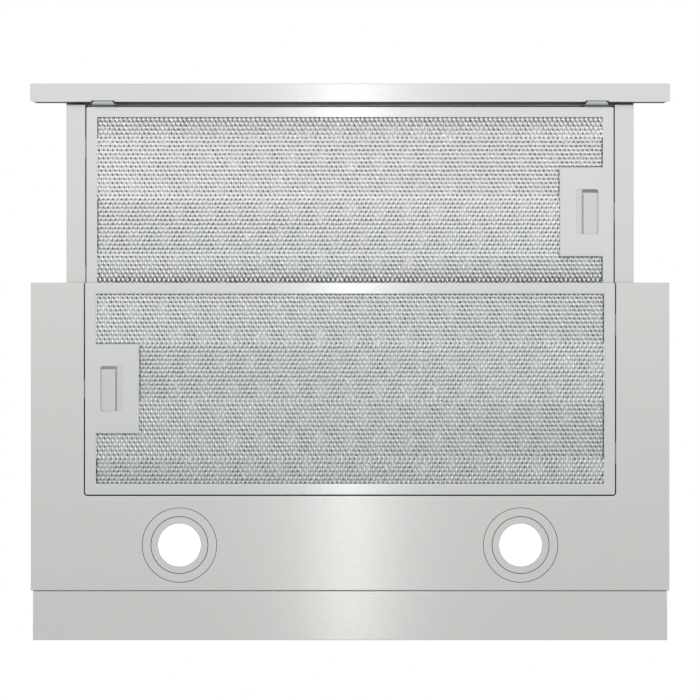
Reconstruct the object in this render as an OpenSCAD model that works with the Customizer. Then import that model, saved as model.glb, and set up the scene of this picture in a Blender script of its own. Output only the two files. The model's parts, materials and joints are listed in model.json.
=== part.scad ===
// Telescopic range hood for a 60 cm cabinet, seen with its visor drawn out.
// Millimetres. X runs left to right, -Y is the front, +Y the wall, +Z up.
// The origin is on the duct axis, in the plane of the duct spigot's mouth.

/* [Pan] */
// Width of the fixed pan over its side walls
pan_w = 597; // [585:0.5:640]
// Depth of the fixed pan from front edge to rear edge
pan_d = 288; // [280:0.5:320]
// Height of the fixed pan
pan_h = 38; // [37:0.5:55]
// Thickness of the folded steel sheet
sheet_t = 0.8; // [0.6:0.1:1]
// Distance from the duct axis back to the pan's rear edge
duct_to_rear = 110; // [104:0.5:118]
// Width of the inward flanges that carry the deck
deck_flange = 11; // [9:0.5:13]

/* [Housing] */
// Distance of the housing's side walls from the pan's sides
housing_in = 35.5; // [33.5:0.5:60]
// Depth of the blower housing
housing_d = 262; // [256:0.5:266]
// Height of the blower housing above the deck
housing_h = 142; // [141:0.5:180]
// Distance of the housing's rear wall from the pan's rear edge
housing_inset = 2; // [1:0.5:6]
// Width of the housing's foot flanges
foot_w = 12; // [10:0.5:14]
// Distance of the deck's air opening from the housing's side walls
air_in = 58; // [40:1:110]
// Depth of the air opening in the deck
air_d = 165; // [120:1:170]
// Rim of deck between the housing's front wall and the air opening
air_rim = 12; // [6:0.5:20]

/* [Duct] */
// Outer radius of the duct spigot
duct_r = 60; // [59:0.5:70]
// Wall of the spigot
collar_t = 2; // [1.5:0.1:2.4]
// Height of the spigot above the housing
spigot_h = 35; // [30:0.5:60]
// Width of the collar's flange
collar_flange = 16; // [14:0.5:20]
// Thickness of the collar's flange
collar_flange_t = 2.5; // [2:0.1:4]
// Height of the duct stop rib above the housing
stop_z = 5; // [4:0.5:8]
// Height and depth of the duct stop rib
stop_rib = 2; // [1:0.1:3]

/* [Flaps] */
// Thickness of a flap
flap_t = 1.6; // [1:0.1:2]
// Height of the flap pins above the housing
flap_z = 9; // [8:0.5:12]
// Distance of each flap pin from the duct axis
flap_off = 4.8; // [4.6:0.1:6]
// Radius of a flap pin
flap_pin_r = 2; // [1.5:0.1:2.2]
// Radius of the bosses that carry the flap pins
flap_boss_r = 4.2; // [3.8:0.1:4.4]
// Gap between a flap and the collar
flap_gap = 0.7; // [0.4:0.1:1.5]

/* [Blower] */
// Outer radius of the impeller
impeller_r = 50; // [44:0.5:50]
// Width of the impeller
impeller_w = 84; // [70:1:84]
// Number of impeller blades
blade_count = 32; // [20:1:40]
// Radial depth of the blade ring
blade_depth = 9; // [7:0.5:10]
// Thickness of a blade
blade_t = 1; // [0.8:0.1:1.4]
// Gap between the impeller and the casing's tongue
tongue_gap = 5.5; // [4:0.5:6]
// How far the casing's radius grows from tongue to outlet
scroll_grow = 29; // [22:0.5:29.5]
// Wall of the casing
scroll_wall = 1.5; // [1.2:0.1:2]
// Gap between the impeller's end and the casing's side
scroll_side_gap = 4; // [3:0.5:4.2]
// Margin of the casing's outlet flange
scroll_flange = 18; // [17:0.5:20]

/* [Motor] */
// Radius of the motor shell
motor_r = 33; // [28:0.5:34]
// Length of the motor shell
motor_len = 60; // [54:1:70]
// Distance from the impeller's hub plate to the motor
motor_start = 16; // [14:0.5:18]
// Radius of the motor shaft
shaft_r = 4; // [3:0.25:5]
// Radius of the rotor
rotor_r = 20; // [15:0.5:21]
// Length of the stator and the rotor
stator_len = 40; // [30:1:42]

/* [Visor] */
// Distance from the pan's front edge to the drawn-out bar
visor_reach = 167.8; // [120:0.1:172]
// How far the visor's rails reach behind its cassette
rail_past = 26.4; // [24:0.1:36]
// Width of the flange under each rail
rail_w = 17.6; // [15:0.1:18]
// Height of the visor's underside above the pan's underside
visor_lift = 14; // [13.5:0.1:16]
// Gap between the visor's top and the deck
visor_top_gap = 3.2; // [2.6:0.1:4]
// Width of the cross strip behind the visor's cassette
cross_w = 10; // [8:0.5:12]

/* [Front bar] */
// How far the front bar reaches past the pan at each end
bar_over = 0.5; // [0:0.5:20]
// Depth of the front bar
bar_d = 18.2; // [18:0.1:24]
// Height of the front bar
bar_h = 40; // [39:0.5:60]
// Size of the cut corners at the back of the bar's flanges
bar_corner = 3.3; // [1:0.1:5]
// Width of a bar bracket
clip_w = 21.3; // [16:0.1:24]
// Distance of a bar bracket's middle from the cassette's side
clip_in = 17.1; // [13:0.1:40]

/* [Filter cassettes] */
// Width of pan beside a cassette
side_strip = 50.5; // [49:0.5:60]
// Depth of pan behind the fixed cassette
rear_strip = 89.4; // [89:0.1:120]
// Thickness of a cassette
filter_t = 9; // [8.6:0.1:9.5]
// Gap between a cassette and the opening that it fills
filter_gap = 0.9; // [0.6:0.1:1.2]
// Width of the cassette's border
border_w = 10.6; // [9:0.1:12]
// Thickness of the border's aluminium
skin_t = 0.8; // [0.6:0.1:1]
// Gap between the visor's cassette and the bar
bar_filter_gap = 1.7; // [1.6:0.1:2.5]
// Pitch of the mesh along its rows
mesh_pitch = 17.2; // [17:0.1:24]
// Pitch of the mesh from row to row
mesh_row = 15.5; // [15.4:0.1:20]
// Width of a mesh strand
strand_w = 3; // [2:0.1:4]
// Thickness of the mesh
mesh_t = 0.8; // [0.6:0.1:1]

/* [Catch] */
// Width of the latch plate
plate_w = 40; // [38:0.1:44]
// Depth of the latch plate
plate_d = 84; // [78:0.5:90]
// Distance of the finger slot from the plate's outer edge
slot_inset = 4; // [3.6:0.1:4.4]
// Width of the finger slot
slot_w = 20.5; // [18:0.1:21]
// Depth of the finger slot
slot_d = 42; // [30:0.5:44]
// Part of the slot that the catch's finger tab fills
tab_show = 5.1; // [4:0.1:6]
// Width of the bolt
bolt_w = 18; // [12:0.5:22]
// How far the bolt and the tongues reach over the ledge
bolt_reach = 2.6; // [2:0.1:3.5]

/* [Lamps] */
// Distance of each lamp from the pan's side
lamp_in = 139.1; // [100:0.1:170]
// Distance of the lamps from the pan's rear edge
lamp_from_rear = 42.6; // [40:0.1:43]
// Outer radius of the lamp's ring
lamp_r = 34.6; // [32:0.1:35]
// Radius of the groove in the lamp's ring
lamp_groove_r = 26.6; // [24:0.1:28]
// Radius of the lens
lens_r = 20; // [17:0.1:21]
// Height of the lamp's can
can_h = 26; // [22:0.5:30]

/* [Controls] */
// Distance of the last button from the bar's end
button_in = 49; // [20:1:100]
// Pitch of the buttons
button_pitch = 20; // [16:0.5:22]
// Radius of a button
button_r = 6.2; // [4:0.1:7]
// Travel of a button
button_travel = 2; // [1.5:0.1:2.5]

/* [Spacer and brackets] */
// Distance of the rear spacer's ends from the pan's sides
spacer_in = 2; // [0:0.5:20]
// Depth of the rear spacer
spacer_d = 46; // [30:0.5:70]
// Distance from the housing's side to the inside of the cabinet's side
cabinet_gap = 19; // [15:0.5:21]
// Thickness of the cabinet brackets
bracket_t = 1.5; // [1.2:0.1:2]
// Length of the cabinet brackets
bracket_len = 190; // [170:1:200]
// Height of the cabinet brackets
bracket_h = 70; // [60:1:100]
// Spacing of the two cabinet screws in a bracket
cabinet_pitch = 150; // [120:1:152]
// Radius of the cabinet screw holes
cabinet_hole_r = 2.5; // [2:0.1:3]

/* [Fits] */
// Radial clearance of a shaft, pin or stem that moves in its bore
run_fit = 0.05; // [0.02:0.01:0.1]
// Gap between parts that slide past each other
slide_gap = 0.3; // [0.2:0.05:0.4]
// Gap around a part that is set into another
set_gap = 0.2; // [0.1:0.05:0.3]
// Radius of a case screw's shank
screw_r = 1.9; // [1.5:0.1:2]
// Radius of a case screw's head
screw_head_r = 3.2; // [2.8:0.1:3.6]
// Height of a case screw's head
screw_head_h = 1.8; // [1.4:0.1:2.2]

/* [Hidden] */

$fn = 48;
eps = 0.01;
over = 1;
corner_steps = 4;

steel = "#d3d5d1";
steel_dark = "#b9bcb8";
zinc = "#c9ccd0";
alloy = "#dde0de";
mesh_grey = "#aeb6b6";
core_grey = "#6d7473";
dark_plastic = "#3a3d40";
grey_plastic = "#8d9295";
white_plastic = "#e9e9e6";
copper = "#b5713c";
lens_white = "#fbfbf8";

// Levels
roof_z = -spigot_h;
deck_top = roof_z - housing_h;
deck_bot = deck_top - sheet_t;
base_z = deck_top - pan_h;
roof_in = roof_z - sheet_t;

// Sizes that follow the pan's
housing_w = pan_w - 2 * housing_in;
air_w = housing_w - 2 * air_in;
cabinet_w = housing_w + 2 * cabinet_gap;
bar_w = pan_w + 2 * bar_over;
filter_w = pan_w - 2 * side_strip;
filter_d = pan_d - rear_strip;
spacer_w = pan_w - 2 * spacer_in;

// Plan of the pan and the housing
pan_rear = duct_to_rear;
pan_front = pan_rear - pan_d;
housing_rear = pan_rear - housing_inset;
housing_front = housing_rear - housing_d;
air_front = housing_front + sheet_t + air_rim;
air_rear = air_front + air_d;

// Opening that a cassette fills, and the visor around it
notch_w = filter_w + 2 * filter_gap;
notch_rear = pan_front + filter_d + filter_gap;
visor_w = notch_w + 2 * rail_w;
visor_z = base_z + visor_lift;
visor_top = deck_bot - visor_top_gap;
bar_rear = pan_front - visor_reach;
bar_front = bar_rear - bar_d;
visor_rear = bar_rear + filter_d + rail_past;
visor_filter_rear = bar_rear + bar_filter_gap + filter_d;
cross_front = visor_filter_rear + filter_gap;

// Runners that carry the visor's rails
runner_gap = 0.8;
runner_t = 1;
runner_flange = 17;
runner_end = 58;
glide_t = 1.9;
shelf_top = visor_z - slide_gap - glide_t;
shelf_bot = shelf_top - runner_t;
shelf_gap = 2;
shelf_in = notch_w / 2 + shelf_gap;
runner_in = visor_w / 2 + runner_gap;
cheek_x = runner_in + runner_t + set_gap;
glide_len = 30;
glide_inset = 1;

// Collar and flaps
flap_boss_len = 8;
flap_pin_back = 1.4;
flap_rod_r = flap_pin_r + 0.6;
flap_stop_w = 2;
flap_stop_h = 3;
flap_seat = flap_z - flap_t / 2 - slide_gap;

// Blower casing, a spiral that opens upwards
tongue_a = 70;
spiral_step = 5;
scroll_r0 = impeller_r + tongue_gap;
scroll_r1 = scroll_r0 + scroll_grow;
tongue_y = scroll_r0 * cos(tongue_a);
outlet_half = (scroll_r1 - tongue_y) / 2;
scroll_flange_t = 2;
blower_y = outlet_half - scroll_r1;
blower_z = roof_in - scroll_flange_t - scroll_radius(90) - scroll_wall - over;
scroll_half_w = impeller_w / 2 + scroll_side_gap;
inlet_r = impeller_r - blade_depth;
inlet_lip_w = 4;
inlet_lip_t = 3;
hub_r = 10;
hub_w = 18;
plate_t = 2;
blade_sink = 0.4;
blade_arc_r = blade_depth * 1.1;
blade_sweep = 55;
blade_steps = 4;

// Motor
motor_wall = 1.5;
motor_end = motor_start + motor_len;
stator_x = motor_start + (motor_len - stator_len) / 2;
air_gap = 0.5;
stator_slots = 12;
stator_slot_r = 2.4;
coil_room = 6;
shaft_nose = 2;
shaft_tail = 4;
bracket_ring_t = 4;
bracket_ring_w = 5;
bracket_x = motor_start + 0.75 * motor_len;
bracket_foot_r = 4;
bracket_pcr = inlet_r + inlet_lip_w + 2 * bracket_foot_r;
bracket_angles = [90:120:330];
bracket_arm_w = 8;
motor_screw_r = 1.5;
motor_screw_head = 2.8;
motor_screw_nose = 2;
motor_screw_head_h = 2;

// Cassette in its own frame: middle of its underside is the origin
win_w = filter_w - 2 * border_w;
win_d = filter_d - 2 * border_w;
filter_corner = 2;
ledge_z = sheet_t + set_gap;
tongue_t = 1.2;
tongue_w = 20;
tongue_off = 60;
plate_x0 = -win_w / 2 + set_gap;
plate_x1 = plate_x0 + plate_w;
slot_x0 = plate_x0 + slot_inset;
slot_x1 = slot_x0 + slot_w;
tab_x0 = slot_x1 - tab_show;
slider_z0 = skin_t + slide_gap;
slider_z1 = 4.6;
tub_top = filter_t - skin_t - set_gap;
tub_wall = 0.8;
tub_margin = 1;
tub_x0 = plate_x0 + tub_margin;
tub_x1 = plate_x1 - tub_margin;
tub_half = plate_d / 2 - tub_margin;
arm_w = 7;
arm_gap = 1;
arm_in = slot_d / 2 + arm_gap;
slider_half = arm_in + arm_w;
cross_t = 2;
spring_room = 9.6;
tab_x1 = tub_x1 - tub_wall - spring_room;
seat_l = 5;
spring_wire = 0.6;
spring_r = 1.3;
spring_turns = 5;
spring_steps = 12;
spring_sides = 6;
spring_y = slot_d / 4;
slot_corner = 2.5;

// Lamps
lamp_x = pan_w / 2 - lamp_in;
lamp_y = pan_rear - lamp_from_rear;
lamp_gap = 0.5;
can_r = lamp_groove_r + 3;
can_wall = 1.2;
can_in = can_r - can_wall;
can_flange = 6;
can_cap_h = 4;
bezel_t = 3;
bezel_rim = 1.5;
groove_w = 0.5;
groove_h = 0.6;
lens_t = 2;
lens_room = 0.3;
board_t = 1.6;
board_drop = 1.5;
led_ring = 12;
led_size = [4, 4, 1];

// Clips between the bar and the tray
clip_t = 0.8;
clip_depth = 1.7;
clip_back = bar_filter_gap - set_gap;
clip_x = filter_w / 2 - clip_in;
clip_foot = 12;
clip_screw_len = 6;
clip_head_h = 0.8;
clip_screw_y = bar_rear - clip_foot / 2;

// Controls
button_z = base_z + bar_h / 2;
button_cap_t = 3;
button_stem_r = button_r / 2;
button_recess = 0.1;
block_y0 = bar_front + sheet_t;
block_back = 3;
block_y1 = bar_rear - block_back;
block_side = 6;
block_wall = 5.8;
block_half_h = button_r + block_wall;
pocket_room = 1;
pocket_y = block_y0 + button_cap_t + button_travel + pocket_room;
button_count = 5;
last_button_x = bar_w / 2 - button_in;
button_x = last_button_x - (button_count - 1) * button_pitch;

// Joining pieces
deck_edge = pan_w / 2 - sheet_t - deck_flange / 2;
foot_x = housing_w / 2 + foot_w / 2;
bracket_mid = (air_front + air_rear) / 2;
collar_screw_in = 9;
collar_pcr = duct_r + collar_screw_in;
spacer_gap = 0.4;
spacer_front = pan_rear + spacer_gap;
spacer_rear = spacer_front + spacer_d;
screw_fit = 0.1;
screw_tip = 0.5;
long_screw = 6;
deck_margin = 25;
bracket_margin = 12;
runner_margin = 10;
deck_pitch = (pan_d - 2 * deck_margin) / 2;
side_pitch = bracket_len / 2 - bracket_margin;
runner_screw_in = 4;
runner_screw_x = runner_in + runner_flange - runner_screw_in;
deck_screws = concat(
    [for (s = [-1, 1], t = [0:2]) [s * deck_edge, pan_front + deck_margin + t * deck_pitch]],
    [for (t = [-1:1]) [t * pan_w / 3, pan_rear - sheet_t - deck_flange / 2]]
);
side_screws = [for (s = [-1, 1], t = [-1:1]) [s * foot_x, bracket_mid + t * side_pitch]];
runner_screws = [
    for (s = [-1, 1], y = [pan_front + runner_margin, runner_end - runner_margin]) [s * runner_screw_x, y]
];
front_screws = [for (t = [-1:1]) [t * housing_w / 3, housing_front - foot_w / 2]];
collar_screws = [for (a = [45:90:315]) [collar_pcr * cos(a), collar_pcr * sin(a)]];
spacer_screws = [for (t = [-1.5:1:1.5]) [t * spacer_w / 4.5, base_z + pan_h / 2]];

// Electrics on the deck's rear strip
wall_gap = 20;
rear_gap = 8;
box_size = [90, 52, 30];
box_wall = 2;
lid_t = 3;
lid_lip = 2;
block_count = 5;
block_pitch = 14;
block_size = [10, 14, 16];
driver_size = [78, 44, 24];
driver_ear = [10, 8, 2.5];
box_x = -housing_w / 2 + sheet_t + wall_gap + box_size[0] / 2;
box_y = housing_rear - sheet_t - rear_gap - box_size[1] / 2;
driver_x = housing_w / 2 - sheet_t - wall_gap - driver_size[0] / 2;
driver_y = housing_rear - sheet_t - rear_gap - driver_size[1] / 2;
cap_r = 15;
cap_len = 52;
cap_x = box_x + box_size[0] / 2 + wall_gap + cap_len / 2;
cap_gap = 4;
cap_y = housing_rear - sheet_t - rear_gap - cap_r - cap_gap;
cap_neck = 4;
cap_pin_r = 1.2;
cap_pin_len = 6;
cap_pin_off = 4;
strap_t = 1.2;
strap_half = 8;
cap_z = deck_top + strap_t + cap_r;
gland_r = 8;
gland_bore = 4;
gland_flange = 4;
gland_depth = 5;
gland_rim = 3;
gland_h = 14;
gland_taper = 2;

// Radius of the casing's spiral at an angle from the outlet side
function scroll_radius(a) = scroll_r0 + scroll_grow * (a - tongue_a) / (360 - tongue_a);
function polar(r, a) = [r * cos(a), r * sin(a)];
function corner_arc(cx, cy, r, a0) =
    [for (i = [0:corner_steps]) [cx, cy] + polar(r, a0 + 90 * i / corner_steps)];
function rounded(w, d, r) = concat(
    corner_arc(w / 2 - r, d / 2 - r, r, 0),
    corner_arc(-w / 2 + r, d / 2 - r, r, 90),
    corner_arc(-w / 2 + r, -d / 2 + r, r, 180),
    corner_arc(w / 2 - r, -d / 2 + r, r, 270)
);
// Casing outline in (y, z) about the blower's axis, grown by g
function scroll_outline(g) = concat(
    [for (a = [tongue_a + (g > 0 ? spiral_step : 0):spiral_step:360]) polar(scroll_radius(a) + g, a)],
    [[scroll_r1 + g, roof_in - blower_z], [tongue_y - g, roof_in - blower_z]]
);
// Closed helix tube along +X: rings of points and the quads between them
function helix_point(r, len, wire, turns, t, b) = let (
    a = 360 * turns * t,
    rr = r + wire / 2 * cos(b)
) [wire / 2 + (len - wire) * t + wire / 2 * sin(b), rr * cos(a), rr * sin(a)];

// Box given by its low and high corners
module slab(lo, hi) {
    translate(lo) cube(hi - lo);
}

// The shape and its mirror image in X
module both_sides() {
    children();
    mirror([1, 0, 0]) children();
}

// Prism along X of an outline drawn in (y, z)
module along_x(x0, x1) {
    translate([x0, 0, 0]) rotate([90, 0, 90]) linear_extrude(x1 - x0) children();
}

// Rod along X about the blower's axis
module blower_rod(r, x0, x1) {
    translate([x0, blower_y, blower_z]) rotate([0, 90, 0]) cylinder(r = r, h = x1 - x0);
}

// Vertical holes for case screws
module screw_holes(places, z0, z1) {
    for (p = places) translate([p[0], p[1], z0])
        cylinder(r = screw_r + screw_fit, h = z1 - z0, $fn = 24);
}

// Pan-head screw whose shank points down from the origin
module case_screw(len) {
    translate([0, 0, -len]) cylinder(r = screw_r, h = len + eps, $fn = 24);
    cylinder(r1 = screw_head_r, r2 = screw_head_r * 0.7, h = screw_head_h, $fn = 24);
}

module screws_at(places, z, len) {
    for (p = places) translate([p[0], p[1], z]) case_screw(len);
}

module at_fixed_filter() {
    translate([0, pan_front + filter_d / 2, base_z]) children();
}

module at_visor_filter() {
    translate([0, visor_filter_rear - filter_d / 2, visor_z]) rotate([0, 0, 180]) children();
}

module underside_panel() {
    color(steel) difference() {
        union() {
            slab([-pan_w / 2, pan_front, base_z], [pan_w / 2, pan_rear, base_z + sheet_t]);
            slab([-pan_w / 2, pan_rear - sheet_t, base_z], [pan_w / 2, pan_rear, deck_bot]);
            slab([-pan_w / 2, pan_rear - deck_flange, deck_bot - sheet_t],
                [pan_w / 2, pan_rear, deck_bot]);
            slab([-notch_w / 2 - sheet_t, notch_rear, base_z],
                [notch_w / 2 + sheet_t, notch_rear + sheet_t, base_z + filter_t]);
            both_sides() pan_side();
        }
        translate([0, notch_rear - filter_d, base_z - over]) linear_extrude(sheet_t + over)
            polygon(rounded(notch_w, 2 * filter_d, filter_corner + filter_gap));
        for (s = [-1, 1]) translate([s * lamp_x, lamp_y, base_z - over])
            cylinder(r = lamp_r + lamp_gap, h = sheet_t + 2 * over, $fn = 96);
        screw_holes(deck_screws, deck_bot - 2 * sheet_t, deck_bot + over);
        for (p = spacer_screws) spacer_hole(p, pan_rear - sheet_t - over, pan_rear + over);
    }
}

// Side wall of the pan with its deck flange and the cheek beside the visor's rail
module pan_side() {
    side_in = pan_w / 2 - sheet_t;
    slab([side_in, pan_front, base_z], [pan_w / 2, pan_rear, deck_bot]);
    slab([pan_w / 2 - deck_flange, pan_front, deck_bot - sheet_t], [pan_w / 2, pan_rear, deck_bot]);
    slab([cheek_x, pan_front, base_z], [pan_w / 2, pan_front + sheet_t, deck_bot]);
    slab([notch_w / 2, pan_front, base_z], [pan_w / 2, pan_front + sheet_t, shelf_bot - set_gap]);
}

// Hole along Y for a spacer screw
module spacer_hole(p, y0, y1) {
    translate([p[0], y0, p[1]]) rotate([-90, 0, 0])
        cylinder(r = screw_r + screw_fit, h = y1 - y0, $fn = 24);
}

module deck_plate() {
    color(steel_dark) difference() {
        slab([-pan_w / 2, pan_front, deck_bot], [pan_w / 2, pan_rear, deck_top]);
        slab([-air_w / 2, air_front, deck_bot - over], [air_w / 2, air_rear, deck_top + over]);
        screw_holes(
            concat(deck_screws, side_screws, runner_screws, front_screws),
            deck_bot - over, deck_top + over
        );
    }
}

module housing_shell() {
    color(steel_dark) difference() {
        union() {
            slab([-housing_w / 2, housing_front, deck_top], [housing_w / 2, housing_rear, roof_z]);
            slab([-housing_w / 2 - foot_w, housing_front - foot_w, deck_top],
                [housing_w / 2 + foot_w, housing_rear, deck_top + sheet_t]);
        }
        slab([-housing_w / 2 + sheet_t, housing_front + sheet_t, deck_top - over],
            [housing_w / 2 - sheet_t, housing_rear - sheet_t, roof_in]);
        translate([0, 0, roof_in - over])
            cylinder(r = duct_r - collar_t, h = sheet_t + 2 * over, $fn = 96);
        screw_holes(collar_screws, roof_in - over, roof_z + over);
        screw_holes(concat(side_screws, front_screws), deck_top - over, deck_top + sheet_t + over);
        translate([box_x, box_y, roof_in - over]) cylinder(r = gland_r, h = sheet_t + 2 * over);
    }
}

module duct_collar() {
    pin_z = roof_z + flap_z;
    spigot_in = duct_r - collar_t;
    boss_x = spigot_in - flap_boss_len;
    color(dark_plastic) difference() {
        union() {
            translate([0, 0, roof_z]) rotate_extrude($fn = 96) polygon([
                [spigot_in, 0], [duct_r + collar_flange, 0],
                [duct_r + collar_flange, collar_flange_t], [duct_r, collar_flange_t],
                [duct_r, stop_z], [duct_r + stop_rib, stop_z],
                [duct_r + stop_rib, stop_z + stop_rib], [duct_r, stop_z + stop_rib],
                [duct_r, spigot_h], [spigot_in, spigot_h], [spigot_in, flap_seat],
                [spigot_in - flap_stop_w, flap_seat], [spigot_in, flap_seat - flap_stop_h]
            ]);
            intersection() {
                translate([0, 0, roof_z]) cylinder(r = duct_r - collar_t / 2, h = spigot_h, $fn = 96);
                both_sides() {
                    for (s = [-1, 1]) translate([boss_x, s * flap_off, pin_z]) rotate([0, 90, 0])
                        cylinder(r = flap_boss_r, h = 2 * flap_boss_len);
                    slab([boss_x, -flap_off, pin_z - flap_boss_r],
                        [boss_x + 2 * flap_boss_len, flap_off, pin_z + flap_boss_r]);
                }
            }
        }
        both_sides() for (s = [-1, 1]) translate([boss_x - over, s * flap_off, pin_z])
            rotate([0, 90, 0]) cylinder(r = flap_pin_r + run_fit, h = flap_boss_len);
        screw_holes(collar_screws, roof_z - over, roof_z + collar_flange_t + over);
    }
}

// One non-return flap, lying shut on the +Y side of the duct
module flap() {
    boss_x = duct_r - collar_t - flap_boss_len;
    flap_r = duct_r - collar_t - flap_gap;
    pin_half = duct_r - collar_t - flap_pin_back;
    keep_off = flap_off + flap_boss_r + flap_gap;
    translate([0, 0, roof_z + flap_z]) {
        difference() {
            translate([0, 0, -flap_t / 2]) cylinder(r = flap_r, h = flap_t, $fn = 96);
            slab([-duct_r, -duct_r, -over], [duct_r, flap_off, over]);
            both_sides() slab([boss_x - flap_gap, -over, -over], [duct_r, keep_off, over]);
        }
        translate([-pin_half, flap_off, 0]) rotate([0, 90, 0])
            cylinder(r = flap_pin_r, h = 2 * pin_half);
        translate([-boss_x + slide_gap, flap_off, 0]) rotate([0, 90, 0])
            cylinder(r = flap_rod_r, h = 2 * (boss_x - slide_gap));
    }
}

module flap_front() {
    color(grey_plastic) rotate([0, 0, 180]) flap();
}

module flap_rear() {
    color(grey_plastic) flap();
}

// One half of the blower casing, on the +X side
module scroll_half() {
    outlet_y = scroll_wall + scroll_flange;
    difference() {
        union() {
            translate([0, blower_y, blower_z])
                along_x(0, scroll_half_w + scroll_wall) polygon(scroll_outline(scroll_wall));
            slab([0, -outlet_half - outlet_y, roof_in - scroll_flange_t],
                [scroll_half_w + outlet_y, outlet_half + outlet_y, roof_in]);
            blower_rod(inlet_r + inlet_lip_w, scroll_half_w, scroll_half_w + scroll_wall + inlet_lip_t);
        }
        translate([0, blower_y, blower_z]) along_x(-over, scroll_half_w) polygon(scroll_outline(0));
        slab([-over, -outlet_half, roof_in - scroll_flange_t - over],
            [scroll_half_w, outlet_half, roof_in + over]);
        blower_rod(inlet_r, scroll_half_w - over, scroll_half_w + scroll_wall + inlet_lip_t + over);
        screw_holes(collar_screws, roof_in - scroll_flange_t - over, roof_in + over);
        motor_holes(scroll_half_w, scroll_half_w + scroll_wall);
    }
}

// Rod along X at each foot of the motor bracket
module foot_rods(r, x0, x1) {
    for (a = bracket_angles)
        translate([x0, blower_y + bracket_pcr * cos(a), blower_z + bracket_pcr * sin(a)])
            rotate([0, 90, 0]) cylinder(r = r, h = x1 - x0, $fn = 24);
}

module motor_holes(x0, x1) {
    foot_rods(motor_screw_r + screw_fit, x0 - over, x1 + over);
}

module scroll_left() {
    color(dark_plastic) mirror([1, 0, 0]) scroll_half();
}

module scroll_right() {
    color(dark_plastic) scroll_half();
}

// Outline of one forward-curved blade, an arc of constant thickness
function blade_outline() = concat(
    [for (i = [0:blade_steps]) polar(blade_arc_r + blade_t / 2, i * blade_sweep / blade_steps)],
    [for (i = [blade_steps:-1:0]) polar(blade_arc_r - blade_t / 2, i * blade_sweep / blade_steps)]
);

module impeller() {
    ring_in = impeller_r - blade_depth;
    blade_x = ring_in + blade_depth / 2 - blade_arc_r;
    color(white_plastic) translate([0, blower_y, blower_z]) rotate([0, 90, 0]) difference() {
        union() {
            translate([0, 0, (plate_t - impeller_w) / 2]) linear_extrude(impeller_w - plate_t)
                intersection() {
                    difference() {
                        circle(r = impeller_r - blade_sink, $fn = 96);
                        circle(r = ring_in + blade_sink, $fn = 96);
                    }
                    for (i = [0:blade_count - 1]) rotate(i * 360 / blade_count)
                        translate([blade_x, -blade_arc_r / 2]) polygon(blade_outline());
                }
            for (z = [-impeller_w / 2, impeller_w / 2 - plate_t]) translate([0, 0, z]) difference() {
                cylinder(r = impeller_r, h = plate_t, $fn = 96);
                translate([0, 0, -over]) cylinder(r = ring_in, h = plate_t + 2 * over, $fn = 96);
            }
            translate([0, 0, -plate_t / 2]) cylinder(r = impeller_r, h = plate_t, $fn = 96);
            translate([0, 0, -hub_w / 2]) cylinder(r = hub_r, h = hub_w);
        }
        translate([0, 0, -hub_w]) cylinder(r = shaft_r + run_fit, h = 2 * hub_w);
    }
}

module motor_shaft() {
    color(zinc) blower_rod(shaft_r, -hub_w / 2 - shaft_nose, motor_end + shaft_tail);
}

module motor_rotor() {
    color(steel_dark) difference() {
        blower_rod(rotor_r, stator_x, stator_x + stator_len);
        blower_rod(shaft_r + run_fit, stator_x - over, stator_x + stator_len + over);
    }
}

module motor_stator() {
    ring_r = motor_r - motor_wall - run_fit;
    bore_r = rotor_r + air_gap;
    color(copper) difference() {
        blower_rod(ring_r, stator_x, stator_x + stator_len);
        blower_rod(bore_r, stator_x - over, stator_x + stator_len + over);
        for (i = [0:stator_slots - 1]) translate([stator_x - over, blower_y, blower_z])
            rotate([i * 360 / stator_slots, 0, 0]) translate([0, (bore_r + ring_r) / 2, 0])
                rotate([0, 90, 0]) cylinder(r = stator_slot_r, h = stator_len + 2 * over, $fn = 20);
    }
}

module motor_shell() {
    color(steel) difference() {
        blower_rod(motor_r, motor_start, motor_end);
        blower_rod(motor_r - motor_wall, stator_x - coil_room, stator_x + stator_len + coil_room);
        blower_rod(shaft_r + run_fit, motor_start - over, motor_end + over);
    }
}

module motor_bracket() {
    x0 = bracket_x;
    x1 = bracket_x + bracket_ring_t;
    wall_x = scroll_half_w + scroll_wall;
    color(steel_dark) difference() {
        union() {
            blower_rod(motor_r + bracket_ring_w, x0, x1);
            for (a = bracket_angles) translate([x0, blower_y, blower_z]) rotate([a, 0, 0])
                translate([0, motor_r, -bracket_arm_w / 2])
                    cube([bracket_ring_t, bracket_pcr - motor_r, bracket_arm_w]);
            foot_rods(bracket_foot_r, wall_x, x1);
        }
        blower_rod(motor_r + run_fit, x0 - over, x1 + over);
        motor_holes(wall_x, x1);
    }
}

module motor_screws() {
    head_x = bracket_x + bracket_ring_t;
    color(zinc) {
        foot_rods(motor_screw_r, scroll_half_w - motor_screw_nose, head_x + eps);
        foot_rods(motor_screw_head, head_x, head_x + motor_screw_head_h);
    }
}

module run_capacitor() {
    color(white_plastic) translate([cap_x - cap_len / 2, cap_y, cap_z]) rotate([0, 90, 0]) {
        cylinder(r = cap_r, h = cap_len);
        translate([0, 0, -cap_neck]) cylinder(r = cap_r * 0.7, h = cap_neck + over);
        for (s = [-1, 1]) translate([0, s * cap_pin_off, -cap_neck - cap_pin_len])
            cylinder(r = cap_pin_r, h = cap_pin_len + over, $fn = 16);
    }
}

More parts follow.
